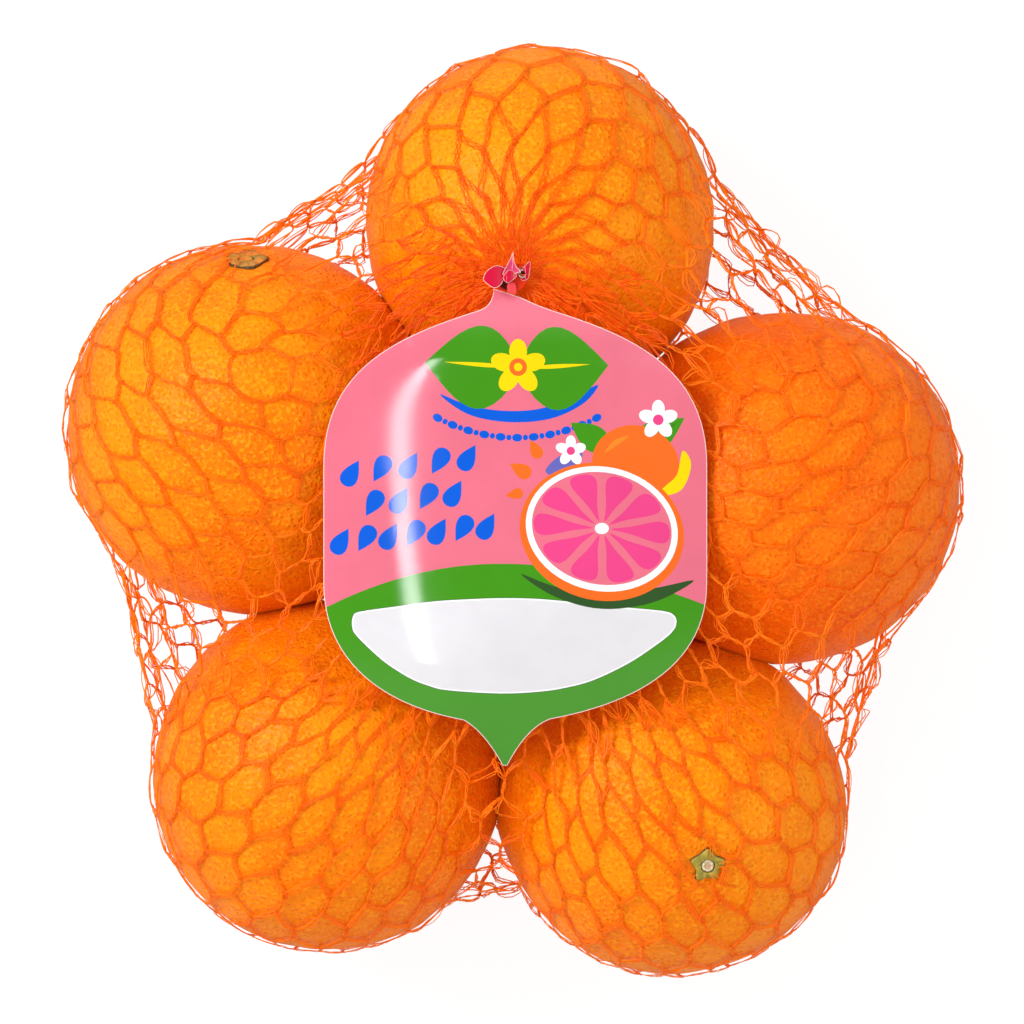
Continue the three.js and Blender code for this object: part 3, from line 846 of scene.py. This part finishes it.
# each part: its first row and the one after its last, the steps of a leg, and its filaments
net_parts = {"net_front": (0, 4, 6, 4), "net_upper": (4, 9, 6, 6), "net_side": (9, 14, 6, 6),
             "net_lower": (14, 20, 5, 4), "net_back": (20, 27, 4, 3)}
NO_JOINTS = 3                   # rows at both ends that are too dense for joints
JOINT_STEPS = 3
for name, (first, last, steps, strands) in net_parts.items():
    legs = [part[first:last].reshape(-1, 3) for part in leg_ends]
    free = outward((legs[0] + legs[2]) / 2)[1] > LOOSE_GAP
    made = []
    for kind, chosen, count in (("laid", ~free, strands), ("free", free, LEG_STRANDS["free"]),
                                ("loose", free, LEG_STRANDS["loose"])):
        ends = [part[chosen] for part in legs]
        made.append(tubes(*filaments(ends, steps, count, LEG_WIDTH[kind], LEG_WANDER[kind])))
    rows = slice(max(first, NO_JOINTS), min(last, NET_ROWS - NO_JOINTS))
    ties = [knots[rows] - joint[rows], joint_way[rows], knots[rows] + joint[rows], -joint_way[rows]]
    made.append(tubes(*filaments(ties, JOINT_STEPS, strands, LEG_WIDTH["joint"], LEG_WANDER["joint"])))
    made.append(tubes(*knot_loops(knots[max(first, 1):last]), closed=True))
    first_point = np.cumsum([0] + [len(points) for points, _ in made])
    net_piece = new_piece(name, np.concatenate([points for points, _ in made]),
                          np.concatenate([faces + start for (_, faces), start in zip(made, first_point)]),
                          [gathered_netting_painted_shade if name == "net_front" else netting])
    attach(net_piece, "root")

# on every stalk end a few filaments are caught, and run out from it over the peel
CAUGHT = {"strands": 9, "steps": 8, "from": (1.2, 3.4), "to": (5.5, 9.5), "bend": 0.25,
          "over": 1.3, "on": 0.12, "down_at": 0.9, "down_over": 0.5}
catching = np.random.default_rng(11)
paths = []
for fruit in fruits:
    for _ in range(CAUGHT["strands"]):
        far = np.linspace(catching.uniform(*CAUGHT["from"]), catching.uniform(*CAUGHT["to"]), CAUGHT["steps"])
        turn = catching.uniform(0, 2 * math.pi) + CAUGHT["bend"] * catching.normal() * (far / far[-1]) ** 2
        down = eased((far / fruit["calyx_radius"] - CAUGHT["down_at"]) / CAUGHT["down_over"])
        flat = far[:, None] * np.stack([np.cos(turn), np.sin(turn)], -1)
        paths.append(on_peel(fruit, fruit["stem"], flat, CAUGHT["over"] * (1 - down) + CAUGHT["on"] * down))
paths = np.array(paths)
radii = np.full(paths.shape[:2], FILAMENT * STOUT)
caught = new_piece("net_caught", *tubes(paths, radii, outward(paths)[0]), [netting])
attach(caught, "root")

# past each gather the ends of the strands go on as a short tuft, held by the clip
TUFT_STRANDS = 46
TUFT_FILAMENT = 0.11            # radius
TUFT_TWIST = 0.5
TUFT_UNEVEN = {"turn": 0.1, "long": (0.75, 1.1), "wide": (0.35, 1.0)}
TUFT_STEPS = np.array([0.0, 1.2, 2.4, 3.3, 4.2, 5.2])             # along the tuft
TUFT_SPREAD = np.array([1.0, 0.55, 0.30, 0.22, 0.42, 0.85])       # share of the gather's ring
for name, gather in gathers.items():
    axis = unit(gather["tuft"])
    side, up = across(axis)
    angle = full_turn(TUFT_STRANDS) + random.normal(0, TUFT_UNEVEN["turn"], TUFT_STRANDS)
    long = random.uniform(*TUFT_UNEVEN["long"], TUFT_STRANDS)[:, None]
    wide = GATHER_RADIUS * TUFT_SPREAD * random.uniform(*TUFT_UNEVEN["wide"], TUFT_STRANDS)[:, None]
    turned = angle[:, None] + TUFT_TWIST * TUFT_STEPS / TUFT_STEPS[-1]
    paths = np.array(gather["place"]) + axis * (TUFT_STEPS * long)[..., None] + \
        side * (wide * np.cos(turned))[..., None] + up * (wide * np.sin(turned))[..., None]
    paths = off_floor(paths)
    points, faces = tubes(paths, np.full(paths.shape[:2], TUFT_FILAMENT), side + 0 * paths)
    tuft = new_piece("net_tuft_" + name, points, faces, [gathered_netting_painted_shade])
    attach(tuft, "root")


# ---------------------------------------------------------------- the clips
# Round each tuft a short strip of aluminium wire is crimped shut, its two ends side by side. The
# front clip also holds the neck of the label.
CLIP_WIRE = 0.22                # radius
CLIP_RADIUS = 0.72
CLIP_OVAL = 0.12
CLIP_STEPS = 40
CLIP_SIDES = 12
CLIP_LAP = {"turn": 0.35, "out": 0.25, "aside": 0.55}        # its ends pass each other
clip_material, clip_tree = new_material("clip_aluminium")
clip_grain = cloud(clip_tree, 2500.0, 2.0, 0.6, own_place(clip_tree))
clip_tone = blend_colours(clip_tree, clip_grain, (0.42, 0.42, 0.44, 1), (0.68, 0.68, 0.70, 1))
skin(clip_tree, Base_Color=clip_tone, Metallic=1.0, Roughness=0.32,
     Normal=bump(clip_tree, clip_grain, 0.4, 0.00005))
clip_places = {"front": (2.1, 50.3, 75.3), "back": (0.0, -14.0, 2.7)}
for name, place in clip_places.items():
    axis = unit(gathers[name]["tuft"])
    side, up = across(axis)
    turn = np.linspace(-CLIP_LAP["turn"], 2 * math.pi + CLIP_LAP["turn"], CLIP_STEPS)
    reach = CLIP_RADIUS * (1 - CLIP_OVAL * np.cos(2 * turn)) + \
        CLIP_LAP["out"] * np.clip(turn - 2 * math.pi, 0, 1)
    climb = CLIP_LAP["aside"] * (turn / (2 * math.pi) - 0.5)
    path = np.array(place) + side * (reach * np.cos(turn))[:, None] + \
        up * (reach * np.sin(turn))[:, None] + axis * climb[:, None]
    points, faces = tubes(path[None], np.full((1, CLIP_STEPS), CLIP_WIRE), axis + 0 * path[None],
                          sides=CLIP_SIDES)
    clip = new_piece("crimped_clip_" + name, points, faces, [clip_material])
    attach(clip, "root")
    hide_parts(name + "_clip")


# ---------------------------------------------------------------- the label
# A shaped label of printed plastic film, glossy, its neck gathered and clipped in with the net. It
# lies over the fruit in a low arch. The print is fields of colour with plain fruit and leaf shapes.
FILM = 0.25                     # thickness that shows at the cut edge
CUT_EDGE = 0.17                 # width of the pale line that the cut leaves in the print
FILM_CELL = 1.7                 # spacing of the lattice that carries the arch
LATTICE_SHIFT = 0.37            # of a cell, so that the lattice starts inside the outline
MERGE_WITHIN = 1e-4             # points of the print nearer than this are one
label_sides = {
    "left": [[(-4.0, 47.1), (-4.2, 43.4), (-7.1, 42.5)],
             [(-7.1, 42.5), (-24.0, 37.1), (-40.2, 30.5), (-40.2, 9.5)],
             [(-40.2, 9.5), (-40.2, -15.5)],
             [(-40.2, -15.5), (-40.2, -32.0), (-28.0, -41.5), (-10.4, -44.7)],
             [(-10.4, -44.7), (-6.0, -47.2), (-2.1, -54.4)]],
    "right": [[(1.6, 45.3), (5.5, 43.4), (9.0, 42.3)],
              [(9.0, 42.3), (25.0, 37.2), (41.4, 30.5), (41.4, 9.5)],
              [(41.4, 9.5), (41.4, -15.5)],
              [(41.4, -15.5), (41.4, -32.0), (28.0, -40.8), (8.0, -44.5)],
              [(8.0, -44.5), (3.0, -46.4), (-1.1, -54.4)]],
}


def bezier(handles, steps):
    """Points along a line, quadratic or cubic curve through its handles, without the first."""
    handles = np.array(handles, float)
    share = np.linspace(0, 1, steps + 1)[1:, None]
    order = len(handles) - 1
    return sum(math.comb(order, i) * (1 - share) ** (order - i) * share ** i * handles[i]
               for i in range(order + 1))


def side_line(stretches):
    """One side of the label from the neck down to the tip."""
    steps = (8, 24, 14, 24, 12)
    return np.concatenate([[stretches[0][0]]] + [bezier(one, n) for one, n in zip(stretches, steps)])


def loop_through(points, steps=6):
    """A smooth closed line through points."""
    points = np.array(points, float)
    before, after, beyond = np.roll(points, 1, 0), np.roll(points, -1, 0), np.roll(points, -2, 0)
    share = np.linspace(0, 1, steps, endpoint=False)[None, :, None]
    a, b, c, d = (part[:, None] for part in (before, points, after, beyond))
    curve = b + 0.5 * share * (c - a + share * (2 * a - 5 * b + 4 * c - d + share * (3 * (b - c) + d - a)))
    return curve.reshape(-1, 2)


def leaning(flat, x, y, lean):
    """A shape turned by an angle in degrees and moved to a place."""
    lean = math.radians(lean)
    return flat @ np.array([[math.cos(lean), math.sin(lean)], [-math.sin(lean), math.cos(lean)]]) + (x, y)


def oval(x, y, wide, high, lean=0.0, steps=36):
    """An oval of half sizes wide and high, turned by an angle in degrees."""
    turn = full_turn(steps)
    return leaning(np.stack([wide * np.cos(turn), high * np.sin(turn)], -1), x, y, lean)


def leaf(start, end, belly, steps=12):
    """A pointed leaf from its stalk to its tip."""
    start, end = np.array(start, float), np.array(end, float)
    share = np.linspace(0, 1, steps + 1)
    width = belly * np.sin(math.pi * share ** 0.8)
    along = end - start
    side = np.array((-along[1], along[0])) / np.linalg.norm(along)
    spine = start + along * share[:, None]
    return np.concatenate([spine + side * width[:, None], (spine - side * width[:, None])[-2:0:-1]])


def drop(x, y, size, lean, steps=18):
    """A drop of juice: round at the foot and pointed at the head."""
    turn = full_turn(steps)
    flat = size * np.stack([np.cos(turn), 0.84 * np.sin(turn) * np.sin(turn / 2) ** 1.3], -1)
    return leaning(flat, x, y, lean)


def segment(x, y, wide, high, lean, angle, half_angle):
    """One segment of a cut fruit, its inner tip near the middle and its outer side rounded."""
    reach = [(0.13, 0), (0.42, -0.62), (0.82, -0.94), (0.97, -0.66),
             (1.0, 0), (0.97, 0.66), (0.82, 0.94), (0.42, 0.62)]
    turn = np.radians([angle + half_angle * off for _, off in reach])
    far = np.array([share for share, _ in reach])
    flat = np.stack([wide * far * np.cos(turn), high * far * np.sin(turn)], -1)
    return loop_through(leaning(flat, x, y, lean), 3)


def inside(points, outline):
    """Which points lie inside a closed outline."""
    x, y = points[:, 0, None], points[:, 1, None]
    one, other = outline, np.roll(outline, -1, 0)
    spans = (one[:, 1] > y) != (other[:, 1] > y)
    rise = np.where(other[:, 1] == one[:, 1], 1e-9, other[:, 1] - one[:, 1])
    return (spans & (x < one[:, 0] + (y - one[:, 1]) * (other[:, 0] - one[:, 0]) / rise)).sum(1) % 2 == 1


def shrunk(outline, by):
    """An outline moved inwards. It runs with the clock or against it."""
    along = unit(np.roll(outline, -1, 0) - np.roll(outline, 1, 0))
    inward = np.stack([-along[:, 1], along[:, 0]], -1)
    area = (outline[:, 0] * np.roll(outline[:, 1], -1) - outline[:, 1] * np.roll(outline[:, 0], -1)).sum()
    return outline + inward * by * math.copysign(1, area)


def film(name, outline, face, print_shapes, materials, cell, edge=CUT_EDGE, thickness=FILM):
    """A sheet of film inside an outline: its print is shapes with a material number, the last on top.
    The first material is the ground of the print, the next to last the cut edge, the last the back."""
    lines = [outline] + ([shrunk(outline, edge)] if edge else []) + [shape for shape, _ in print_shapes]
    low, high = outline.min(0) + cell * LATTICE_SHIFT, outline.max(0)
    lattice = np.stack(np.meshgrid(np.arange(low[0], high[0], cell), np.arange(low[1], high[1], cell)), -1)
    lattice = lattice.reshape(-1, 2)
    lattice = lattice[inside(lattice, lines[min(1, len(lines) - 1)])]
    points = np.concatenate(lines + [lattice])
    edges, start = [], 0
    for line in lines:
        edges += [(start + i, start + (i + 1) % len(line)) for i in range(len(line))]
        start += len(line)
    flat = geometry.delaunay_2d_cdt([Vector(p) for p in points.tolist()], edges, [], 0, MERGE_WITHIN)
    spots, faces = np.array([tuple(v) for v in flat[0]]), np.array(flat[2])
    middles = spots[faces].mean(1)
    kept = inside(middles, outline)
    faces, middles = faces[kept], middles[kept]
    turned = np.cross(spots[faces[:, 1]] - spots[faces[:, 0]], spots[faces[:, 2]] - spots[faces[:, 0]]) < 0
    faces[turned] = faces[turned][:, ::-1]
    kinds = np.zeros(len(faces), int)
    for shape, kind in print_shapes:
        kinds[inside(middles, shape)] = kind
    if edge:
        kinds[~inside(middles, lines[1])] = len(materials) - 2
    height = face(spots[:, 0], spots[:, 1])
    top = np.column_stack([spots, height])
    count = len(spots)
    sides = np.concatenate([faces[:, [0, 1]], faces[:, [1, 2]], faces[:, [2, 0]]])
    key = np.sort(sides, axis=1) @ (count, 1)
    once = np.isin(key, np.unique(key)[np.unique(key, return_counts=True)[1] == 1])
    rim = sides[once]
    rim_top, rim_low = 2 * count + rim, 3 * count + rim
    wall = np.concatenate([np.stack([rim_top[:, 0], rim_low[:, 0], rim_low[:, 1]], -1),
                           np.stack([rim_top[:, 0], rim_low[:, 1], rim_top[:, 1]], -1)])
    below = top - (0, 0, thickness)
    points = np.concatenate([top, below, top, below])
    faces = np.concatenate([faces, faces[:, ::-1] + count, wall])
    kinds = np.concatenate([kinds, np.full(len(kinds), len(materials) - 1),
                            np.full(len(wall), len(materials) - 2)])
    used, place = np.unique(faces, return_inverse=True)
    return new_piece(name, points[used], place.reshape(faces.shape), materials, kinds)


def film_print_group():
    """What gives printed film away: ink a little uneven, gloss a little streaked along the roll."""
    group, given, out = node_group(
        "film_print",
        {"Ink": ("NodeSocketColor", (0.8, 0.8, 0.8, 1)), "Unevenness": ("NodeSocketFloat", 0.06)},
        {"Colour": "NodeSocketColor", "Gloss": "NodeSocketFloat", "Buckle": "NodeSocketFloat"})
    place = own_place(group)
    tone = ramp(group, cloud(group, 55.0, 3.0, 0.6, place), 0.3, 0.7)
    darker = blend_colours(group, 1.0, given.outputs[0], (0.86, 0.86, 0.86, 1), "MULTIPLY")
    share = math_node(group, "MULTIPLY", tone, given.outputs[1])
    stretch = add_node(group, "ShaderNodeMapping", {"Vector": place, "Scale": (1.0, 0.25, 1.0)})
    streak = cloud(group, 120.0, 2.0, 0.5, stretch.outputs[0])
    values = (blend_colours(group, share, given.outputs[0], darker),
              ramp(group, streak, 0.3, 0.7, 0.05, 0.09),
              cloud(group, 30.0, 1.0, 0.5, stretch.outputs[0]))
    for socket, value in zip(out.inputs, values):
        feed(group, socket, value)
    return group


film_print = film_print_group()


def ink(name, colour, unevenness=0.5, rough=None):
    """Film printed in one colour, glossy unless a roughness is given, as for the matte sheets of painted
    shade.
    """
    material, tree = new_material("ink_" + name)
    printed = add_node(tree, "ShaderNodeGroup", {}, node_tree=film_print)
    printed.inputs["Ink"].default_value = (*colour, 1)
    printed.inputs["Unevenness"].default_value = unevenness
    skin(tree, Base_Color=printed.outputs["Colour"], Roughness=rough or printed.outputs["Gloss"],
         Normal=bump(tree, printed.outputs["Buckle"], 0.35, 0.0004), IOR=1.5,
         Specular_IOR_Level=0.15 if rough else 0.5)
    return material


inks = {"pink": (0.775, 0.162, 0.235), "green": (0.053, 0.285, 0.008), "white": (0.735, 0.72, 0.745),
        "bright_white": (0.93, 0.93, 0.93), "dark_green": (0.030, 0.085, 0.020), "blue": (0.002, 0.105, 0.66),
        "orange": (0.90, 0.150, 0.016), "flesh": (0.80, 0.060, 0.240), "yellow": (0.90, 0.66, 0.002),
        "violet": (0.13, 0.13, 0.46), "rind": (0.92, 0.24, 0.02),
        "cut_edge": (0.90, 0.62, 0.58), "back": (0.80, 0.07, 0.16)}
ink_number = {name: number for number, name in enumerate(inks)}
label_inks = [ink(name, colour) for name, colour in inks.items()]

label_outline = np.concatenate([side_line(label_sides["left"]), side_line(label_sides["right"])[::-1]])
print_shapes = []


def put(shape, name):
    """Prints a shape in an ink, over what is printed there."""
    print_shapes.append((np.asarray(shape, float), ink_number[name]))


def round_off(x, y, far, angle):
    """A place at a distance from another, at an angle in radians."""
    return x + far * math.cos(angle), y + far * math.sin(angle)


def put_petals(x, y, far, wide, high, steps, name):
    """Prints five petals round a place."""
    for petal in range(5):
        lean = 90 + 72 * petal
        put(oval(*round_off(x, y, far, math.radians(lean)), wide, high, lean, steps), name)


# a pink sky over a low green hill, and in the hill a white panel
HILL = {"left": -42.5, "right": 43.5, "foot": -58.0, "top": (-2.7, -11.4), "fall": (0.0068, 0.0046)}
PANEL_RIM = {"dark": 0.12, "bright": 0.34}
hill = np.linspace(HILL["left"], HILL["right"], 30)
top_x, top_y = HILL["top"]
crest = top_y - np.where(hill < top_x, *HILL["fall"]) * (hill - top_x) ** 2
foot = [(HILL["right"], HILL["foot"]), (HILL["left"], HILL["foot"])]
put(np.concatenate([np.stack([hill, crest], -1), foot]), "green")
panel = loop_through([(-32.5, -21.6), (-24.9, -20.5), (-16.7, -19.4), (-8.5, -18.9), (-1.6, -18.7),
                      (5.9, -18.9), (14.5, -19.7), (23.1, -20.6), (31.6, -21.4), (34.2, -22.2),
                      (34.9, -23.9), (33.9, -26.0), (30.3, -28.9), (24.5, -32.7), (17.4, -36.1),
                      (11.7, -37.7), (5.9, -38.6), (-2.7, -39.0), (-13.9, -38.3), (-18.0, -37.3),
                      (-22.1, -35.6), (-27.6, -32.0), (-33.1, -26.8), (-34.1, -24.7), (-33.9, -22.6)], 4)
put(shrunk(panel, -PANEL_RIM["dark"]), "dark_green")
put(panel, "bright_white")
put(shrunk(panel, PANEL_RIM["bright"]), "white")

# the emblem: two broad leaves and a blossom, over a blue swell
put(loop_through([(-15.4, 24.6), (-9.5, 20.4), (-1.0, 18.7), (8.0, 19.4), (15.0, 22.6), (18.2, 26.6),
                  (13.0, 24.2), (6.0, 21.6), (-1.5, 21.1), (-9.0, 22.2)]), "blue")
put(leaf((1.6, 29.6), (-18.6, 31.4), 8.9), "green")
put(leaf((1.2, 29.6), (20.4, 30.8), 8.9), "green")
put(leaf((0.0, 30.4), (-14.6, 31.5), 0.45), "yellow")
put(leaf((3.0, 30.2), (16.6, 31.0), 0.45), "yellow")
put_petals(1.2, 30.4, 3.3, 2.7, 1.9, 20, "yellow")
put(oval(1.2, 30.4, 1.9, 1.9, 0, 20), "orange")
put(oval(1.2, 30.4, 0.9, 0.9, 0, 14), "yellow")

# a string of small blue beads below it
BEADS = 21
STRING = {"middle": (1.0, 51.4), "radius": 36.0, "from": -118, "over": 56}       # degrees
for bead in range(BEADS):
    angle = math.radians(STRING["from"] + STRING["over"] * bead / (BEADS - 1))
    x, y = round_off(*STRING["middle"], STRING["radius"], angle)
    wide, high = (0.62, 0.55) if bead % 2 else (0.85, 1.1)
    put(oval(x, y, wide, high, math.degrees(angle), 12), "blue")

# three rows of blue drops
for start, end, count in (((-34.2, 7.9), (-9.4, 11.2), 5), ((-29.6, 1.4), (-12.4, 3.6), 4),
                          ((-36.4, -6.6), (-5.4, -3.4), 7)):
    for number in range(count):
        share = number / (count - 1)
        x, y = start[0] + (end[0] - start[0]) * share, start[1] + (end[1] - start[1]) * share
        put(drop(x, y, 3.1, 60 if (number + count) % 2 else 240), "blue")

# a cut fruit with its wheel of segments, a whole one with leaves behind it, and juice
put(loop_through([(1.8, -13.6), (9.0, -18.4), (19.0, -21.0), (30.0, -19.6), (38.6, -15.0), (30.0, -16.6),
                  (19.0, -17.8), (9.0, -16.2)]), "dark_green")
put(leaf((24.5, 12.0), (36.6, 19.6), 3.4), "green")
put(leaf((21.0, 12.6), (12.4, 18.6), 2.8), "green")
put(leaf((26.0, 13.2), (35.0, 18.6), 0.3), "dark_green")
put(oval(26.2, 9.6, 9.4, 8.4, -18), "orange")
put(loop_through([(19.6, 12.2), (21.6, 14.8), (24.8, 15.8), (22.2, 13.8)]), "rind")
put(loop_through([(30.4, 3.0), (35.8, 4.2), (38.0, 9.6), (36.2, 12.6), (35.0, 7.6), (32.6, 5.2)]), "yellow")
put(loop_through([(7.0, 8.4), (10.2, 11.6), (14.8, 12.2), (13.2, 9.4), (9.6, 7.2)]), "violet")
CUT_FRUIT = (19.0, -3.9)
CUT_LEAN = -12
SEGMENTS = 10
put(oval(19.0, -4.6, 17.6, 14.6, CUT_LEAN, 60), "orange")
put(oval(19.0, -4.0, 16.3, 13.2, CUT_LEAN, 56), "bright_white")
put(oval(*CUT_FRUIT, 15.0, 11.9, CUT_LEAN, 52), "pink")
for number in range(SEGMENTS):
    put(segment(*CUT_FRUIT, 14.6, 11.5, CUT_LEAN, 360 // SEGMENTS * number + 10, 14.5), "flesh")
put(oval(*CUT_FRUIT, 1.5, 1.2, 0, 16), "bright_white")
for x, y, size in ((31.0, 19.2, 2.3), (12.4, 12.6, 1.8)):
    put_petals(x, y, size, size * 0.85, size * 0.6, 16, "bright_white")
    put(oval(x, y, size * 0.5, size * 0.5, 0, 14), "flesh")
for x, y, size, lean in ((1.6, 8.6, 2.6, 150), (4.8, 13.0, 2.2, 118), (0.4, 3.4, 1.9, 190)):
    put(drop(x, y, size, lean), "orange")

label = film("film_label", label_outline, film_face, print_shapes, label_inks, FILM_CELL)
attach(label, "root")
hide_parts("label")


# ---------------------------------------------------------------- the gathered end of the label
# Above the clip the crimson back of the film sticks up in a rounded lobe and two pointed folds, pressed
# together out of the same sheet, with pale cut edges. Under them a deep red sheet, a dark patch and a dark
# disc in the clip's hole are painted shade.
fold_inks = {
    "crimson": ink("crimson", (0.64, 0.006, 0.045)),
    "magenta": ink("magenta", (0.68, 0.050, 0.150)),
    # recess and shade are inks of painted shade: a deep red one and a dark one for where the gathered film is
    # shaded
    "recess_painted_shade": ink("recess_painted_shade", (0.78, 0.032, 0.006), 0.5, 0.6),
    "shade": ink("shade", (0.10, 0.003, 0.002), 0.5, 0.7),
    "strip": ink("strip", (0.90, 0.060, 0.070)),
}
fold_rest = [ink("film_edge", (0.93, 0.55, 0.44)), ink("crimson_back", (0.62, 0.008, 0.030))]
FOLD_CELL = 0.5
FOLD_FILM = 0.16
folds = {
    # the recess, the shade and the eyelet are painted shade: sheets and a dark disc laid where the folds and
    # the clip's hole are shaded
    "recess_painted_shade": {"line": [(-3.7, 51.0), (-1.5, 52.1), (0.6, 52.4), (2.9, 52.0), (3.5, 50.0), (2.8, 48.2),
                        (0.9, 46.4), (-1.4, 46.6), (-3.3, 47.3)],
               "base": (0.0, 49.6, 75.0), "rise": (0.0, 0.06), "bend": 0.03, "ink": "recess_painted_shade", "edge": 0.0},
    "shade": {"line": [(-3.0, 48.4), (-1.8, 49.2), (0.2, 50.1), (0.5, 49.2), (-0.6, 48.2), (-0.9, 46.8),
                       (-2.3, 47.3)],
              "base": (0.0, 49.6, 75.3), "rise": (0.0, 0.06), "bend": 0.03, "ink": "shade", "edge": 0.0},
    "eyelet_painted_shade": {"line": [(2.1, 49.7), (2.8, 50.3), (2.1, 50.9), (1.5, 50.3)],
               "base": (2.1, 50.3, 75.35), "rise": (0.0, 0.0), "bend": 0.0, "ink": "shade", "edge": 0.0},
    "lobe": {"line": [(-6.2, 49.2), (-5.8, 50.4), (-4.8, 51.4), (-3.4, 52.0), (-2.0, 51.7), (-1.2, 50.9),
                      (-1.7, 49.6), (-2.4, 48.0), (-3.9, 47.2), (-5.8, 48.4)],
             "base": (-2.4, 49.0, 76.2), "rise": (-0.3, -0.15), "bend": 0.05, "ink": "crimson", "edge": 0.11},
    "tall": {"line": [(-2.1, 50.1), (-1.3, 51.9), (-0.5, 53.4), (0.15, 54.9), (0.30, 53.2), (0.85, 51.8),
                      (1.7, 50.8), (0.7, 50.3), (-0.8, 50.0)],
             "base": (0.0, 50.4, 76.5), "rise": (0.10, 0.12), "bend": -0.12, "ink": "magenta", "edge": 0.12},
    "middle": {"line": [(-2.0, 49.5), (-0.6, 51.1), (0.9, 50.0), (0.1, 48.9), (-1.2, 48.3)],
               "base": (-0.5, 49.6, 76.9), "rise": (-0.2, 0.05), "bend": 0.2, "ink": "crimson", "edge": 0.07},
    "side": {"line": [(1.0, 51.0), (2.25, 51.6), (3.7, 52.9), (3.7, 51.0), (3.3, 49.2), (1.9, 48.9)],
             "base": (2.4, 50.6, 75.2), "rise": (0.15, 0.10), "bend": 0.10, "ink": "crimson", "edge": 0.08},
    "strip": {"line": [(-1.0, 48.1), (0.5, 48.2), (0.7, 46.0), (-0.9, 46.3)],
              "base": (-0.2, 47.0, 75.6), "rise": (0.0, 0.25), "bend": 0.1, "ink": "strip", "edge": 0.0},
}


def fold_face(fold):
    """The height of a fold: it slopes two ways and bends across."""
    def height(x, y):
        x0, y0, z0 = fold["base"]
        rise_x, rise_y = fold["rise"]
        return z0 + rise_x * (x - x0) + rise_y * (y - y0) - fold["bend"] * (x - x0) ** 2
    return height


for name, fold in folds.items():
    sheet = film("film_" + name, loop_through(fold["line"], 5), fold_face(fold), [],
                 [fold_inks[fold["ink"]], *fold_rest], FOLD_CELL, fold["edge"], FOLD_FILM)
    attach(sheet, "root")


# ---------------------------------------------------------------- the studio
# Nothing of the pack: a pale floor, a soft dome, a large soft box to the upper left, a weak one to
# the right and a narrow one overhead, with the camera straight above.
CAMERA_HEIGHT = 5.0
VIEW_WIDTH = 0.2194             # what the frame takes in at the fruit's widest
VIEW_LEVEL = 0.037
VIEW_MIDDLE = (-0.0001, -0.0004)
SENSOR = 36.0                   # millimetres
FLOOR_HALF = 4000
FLOOR_LINES = 9
FLOOR_GLOW = (0.56, 0.90)       # on the pack, and towards the camera
DOME = {"from": 0.78, "to": 0.95, "round_about": 0.86, "overhead": 0.15}
floor_material, floor_tree = new_material("studio_floor")
grain = ramp(floor_tree, cloud(floor_tree, 4.0), 0.3, 0.7, 0.14, 0.16)
paper = add_node(floor_tree, "ShaderNodeCombineColor", {0: grain, 1: grain, 2: grain})
seen = add_node(floor_tree, "ShaderNodeLightPath").outputs["Is Camera Ray"]
skin(floor_tree, Base_Color=paper.outputs[0], Roughness=0.9, Specular_IOR_Level=0.0,
     Emission_Color=(1.0, 1.0, 1.0, 1), Emission_Strength=ramp(floor_tree, seen, 0.0, 1.0, *FLOOR_GLOW))
lines = np.linspace(-FLOOR_HALF, FLOOR_HALF, FLOOR_LINES)
floor_grid = np.array([(x, y, 0.0) for x in lines for y in lines])
floor_cells = np.arange(FLOOR_LINES ** 2).reshape(FLOOR_LINES, FLOOR_LINES)
floor = new_piece("floor", floor_grid, np.stack([floor_cells[:-1, :-1], floor_cells[1:, :-1],
                  floor_cells[1:, 1:], floor_cells[:-1, 1:]], -1).reshape(-1, 4), [floor_material])

world = bpy.data.worlds.new("dome")
world.use_nodes = True
sky = world.node_tree
sky.nodes["Background"].inputs[0].default_value = (1.0, 1.0, 1.0, 1)
aim_up = add_node(sky, "ShaderNodeSeparateXYZ", {0: add_node(sky, "ShaderNodeTexCoord").outputs["Generated"]})
feed(sky, sky.nodes["Background"].inputs[1], ramp(sky, aim_up.outputs[2], *DOME.values()))
bpy.context.scene.world = world


def soft_box(name, place, size, power, aim):
    """A rectangular lamp that faces a point, or straight down."""
    lamp = bpy.data.lights.new(name, "AREA")
    lamp.shape, lamp.size, lamp.size_y, lamp.energy = "RECTANGLE", size[0], size[1], power
    box = bpy.data.objects.new(name, lamp)
    box.location = place
    if aim:
        box.rotation_euler = (Vector(aim) - Vector(place)).to_track_quat("-Z", "Y").to_euler()
    bpy.context.scene.collection.objects.link(box)


soft_box("key", (-0.95, 0.5, 1.05), (0.60, 0.60), 15.2, (0, 0, VIEW_LEVEL))
soft_box("fill", (1.25, -0.35, 0.75), (0.80, 0.80), 3.6, (0, 0, VIEW_LEVEL))
soft_box("streak", (-0.33, -0.25, 2.0), (0.06, 1.3), 4.2, None)

camera_data = bpy.data.cameras.new("camera")
camera_data.sensor_width = SENSOR
camera_data.lens = SENSOR * CAMERA_HEIGHT / VIEW_WIDTH
camera_data.clip_end = 20.0
camera = bpy.data.objects.new("camera", camera_data)
camera.location = (*VIEW_MIDDLE, VIEW_LEVEL + CAMERA_HEIGHT)
bpy.context.scene.collection.objects.link(camera)
bpy.context.scene.camera = camera
bpy.context.scene.view_settings.view_transform = "Standard"
